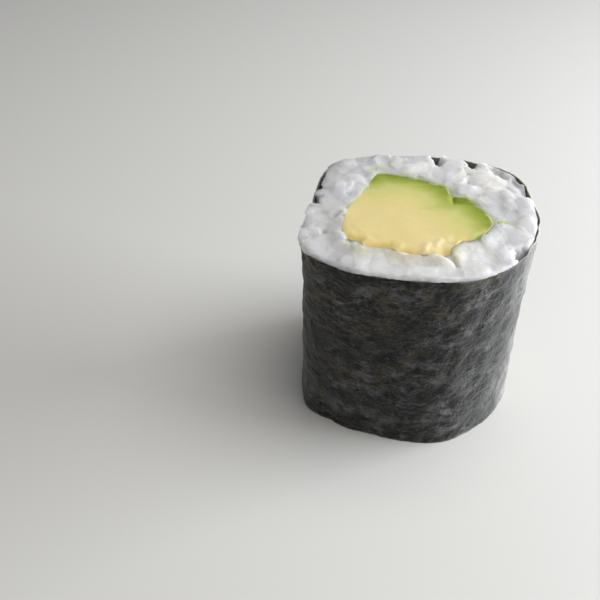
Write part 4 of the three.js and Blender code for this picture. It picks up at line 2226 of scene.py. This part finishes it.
    def mesh(self, grains: Mesh, finish: Material) -> Mesh:
        """The finished sheet in metres.

        Args:
            grains: All the grains beneath it, in millimetres.
            finish: The nori's material.

        Returns:
            A closed mesh that carries each point's place on the flat sheet.
        """
        maker = self._maker(object_of("grains", grains), finish)
        sheet = maker.make(bpy.data.meshes.new("nothing"))
        maker.clear_helpers()
        points = mesh_points(sheet)
        points[:, 2] = np.maximum(points[:, 2], 0)
        return finished(sheet, points)


# ---------------- studio


@dataclass(frozen=True)
class Lamp:
    """A square soft lamp that faces the roll: its place and side in millimetres, and its watts."""

    name: str
    place: tuple[float, float, float]
    side: float
    power: float
    colour: str


@dataclass
class Studio:
    """The table, the lamps and the camera."""

    sight: tuple[float, float, float] = (-14.27, -0.785, 13.5)
    elevation: float = 41.27
    distance: float = 104.75
    lens: float = 48.0
    table_reach: float = 4000.0
    lamps: tuple[Lamp, ...] = (
        Lamp("overhead", (100, 0, 310), 270, 0.72, "FFFDF8"),
        Lamp("behind_right", (240, 10, 34), 180, 1.6, "F4F8FF"),
        Lamp("front", (-60, -330, 240), 260, 0.05, "FFFFFF"),
    )
    lit: tuple[float, float, float] = (0, 0, 14)
    room_colour: tuple[float, float, float, float] = (0.9, 0.92, 0.95, 1.0)
    room_light: float = 0.165

    def build(self) -> None:
        """Makes all of it."""
        self._table()
        for lamp in self.lamps:
            self._hang(lamp)
        self._room()
        self._camera()

    def _table(self) -> None:
        """A wide flat table top, which isn't part of the object."""
        side = self.table_reach * METRES
        corners = [(-side, -side, 0.0), (side, -side, 0.0), (side, side, 0.0), (-side, side, 0.0)]
        mesh = mesh_of("table", corners, [(0, 1, 2, 3)])
        mesh.materials.append(TableFinish().material())
        object_of("table", mesh)

    def _hang(self, lamp: Lamp) -> None:
        """Puts one lamp in its place and turns it towards the roll.

        Args:
            lamp: The lamp.
        """
        light = bpy.data.lights.new(lamp.name, "AREA")
        light.shape = "SQUARE"
        light.size = lamp.side * METRES
        light.energy = lamp.power
        light.color = linear(lamp.colour)
        holder = object_of(lamp.name, light)
        holder.location = Vector(lamp.place) * METRES
        towards = Vector(self.lit) - Vector(lamp.place)
        holder.rotation_euler = towards.to_track_quat("-Z", "Y").to_euler()

    def _room(self) -> None:
        """The faint light from all around, and plain colours without a film look."""
        world = bpy.data.worlds.new("room")
        world.use_nodes = True
        background = world.node_tree.nodes["Background"]
        background.inputs["Color"].default_value = self.room_colour
        background.inputs["Strength"].default_value = self.room_light
        bpy.context.scene.world = world
        bpy.context.scene.view_settings.view_transform = "Standard"

    def _camera(self) -> None:
        """The camera, which looks along +Y and down."""
        lens = bpy.data.cameras.new("camera")
        lens.lens = self.lens
        lens.clip_start = 0.005
        camera = object_of("camera", lens)
        down = math.radians(self.elevation)
        back = Vector((0.0, -math.cos(down), math.sin(down)))
        camera.location = (Vector(self.sight) + back * self.distance) * METRES
        camera.rotation_euler = (math.radians(90) - down, 0.0, 0.0)
        bpy.context.scene.camera = camera


# ---------------- the whole


def show(name: str, mesh: Mesh, slot: Slot, node: Node) -> Object:
    """Puts a finished mesh into the scene as a piece of the object.

    Args:
        name: Name of the piece.
        mesh: Its mesh, in metres.
        slot: Not used.
        node: The solid that it stands for.

    Returns:
        The piece.
    """
    piece = object_of(name, mesh)
    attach(piece, BODY)
    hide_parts(node.value)
    mesh.calc_loop_triangles()
    LOG.info("%s: %d triangles", name, len(mesh.loop_triangles))
    return piece


def main() -> None:
    """Builds the roll from the middle outwards, and then the studio."""
    logging.basicConfig(level=logging.INFO, format="%(message)s")
    form = RollForm()
    grains = GrainPacking(form).pack()
    rice = RiceGrains(form, grains)
    white = RiceFinish().material()
    upper = rice.face(Cut.UPPER, white)
    show("rice_upper", upper, Slot.RICE, Node.RICE)
    show("rice_lower", rice.face(Cut.LOWER, white), Slot.RICE, Node.RICE)
    middle, core = rice.between(white)
    show("rice_middle", middle, Slot.RICE, Node.RICE)
    show("rice_core", core, Slot.RICE, Node.RICE)
    green = AvocadoFinish().material()
    show("avocado", AvocadoWedge(form).mesh(green), Slot.AVOCADO, Node.AVOCADO)
    show("avocado_crumbs", AvocadoCrumbs(form).mesh(upper, green), Slot.AVOCADO, Node.AVOCADO)
    nori = NoriWrap(form).mesh(rice.bed(white), NoriFinish().material())
    show("nori", nori, Slot.NORI, Node.NORI)
    Studio().build()


if __name__ == "__main__":
    main()
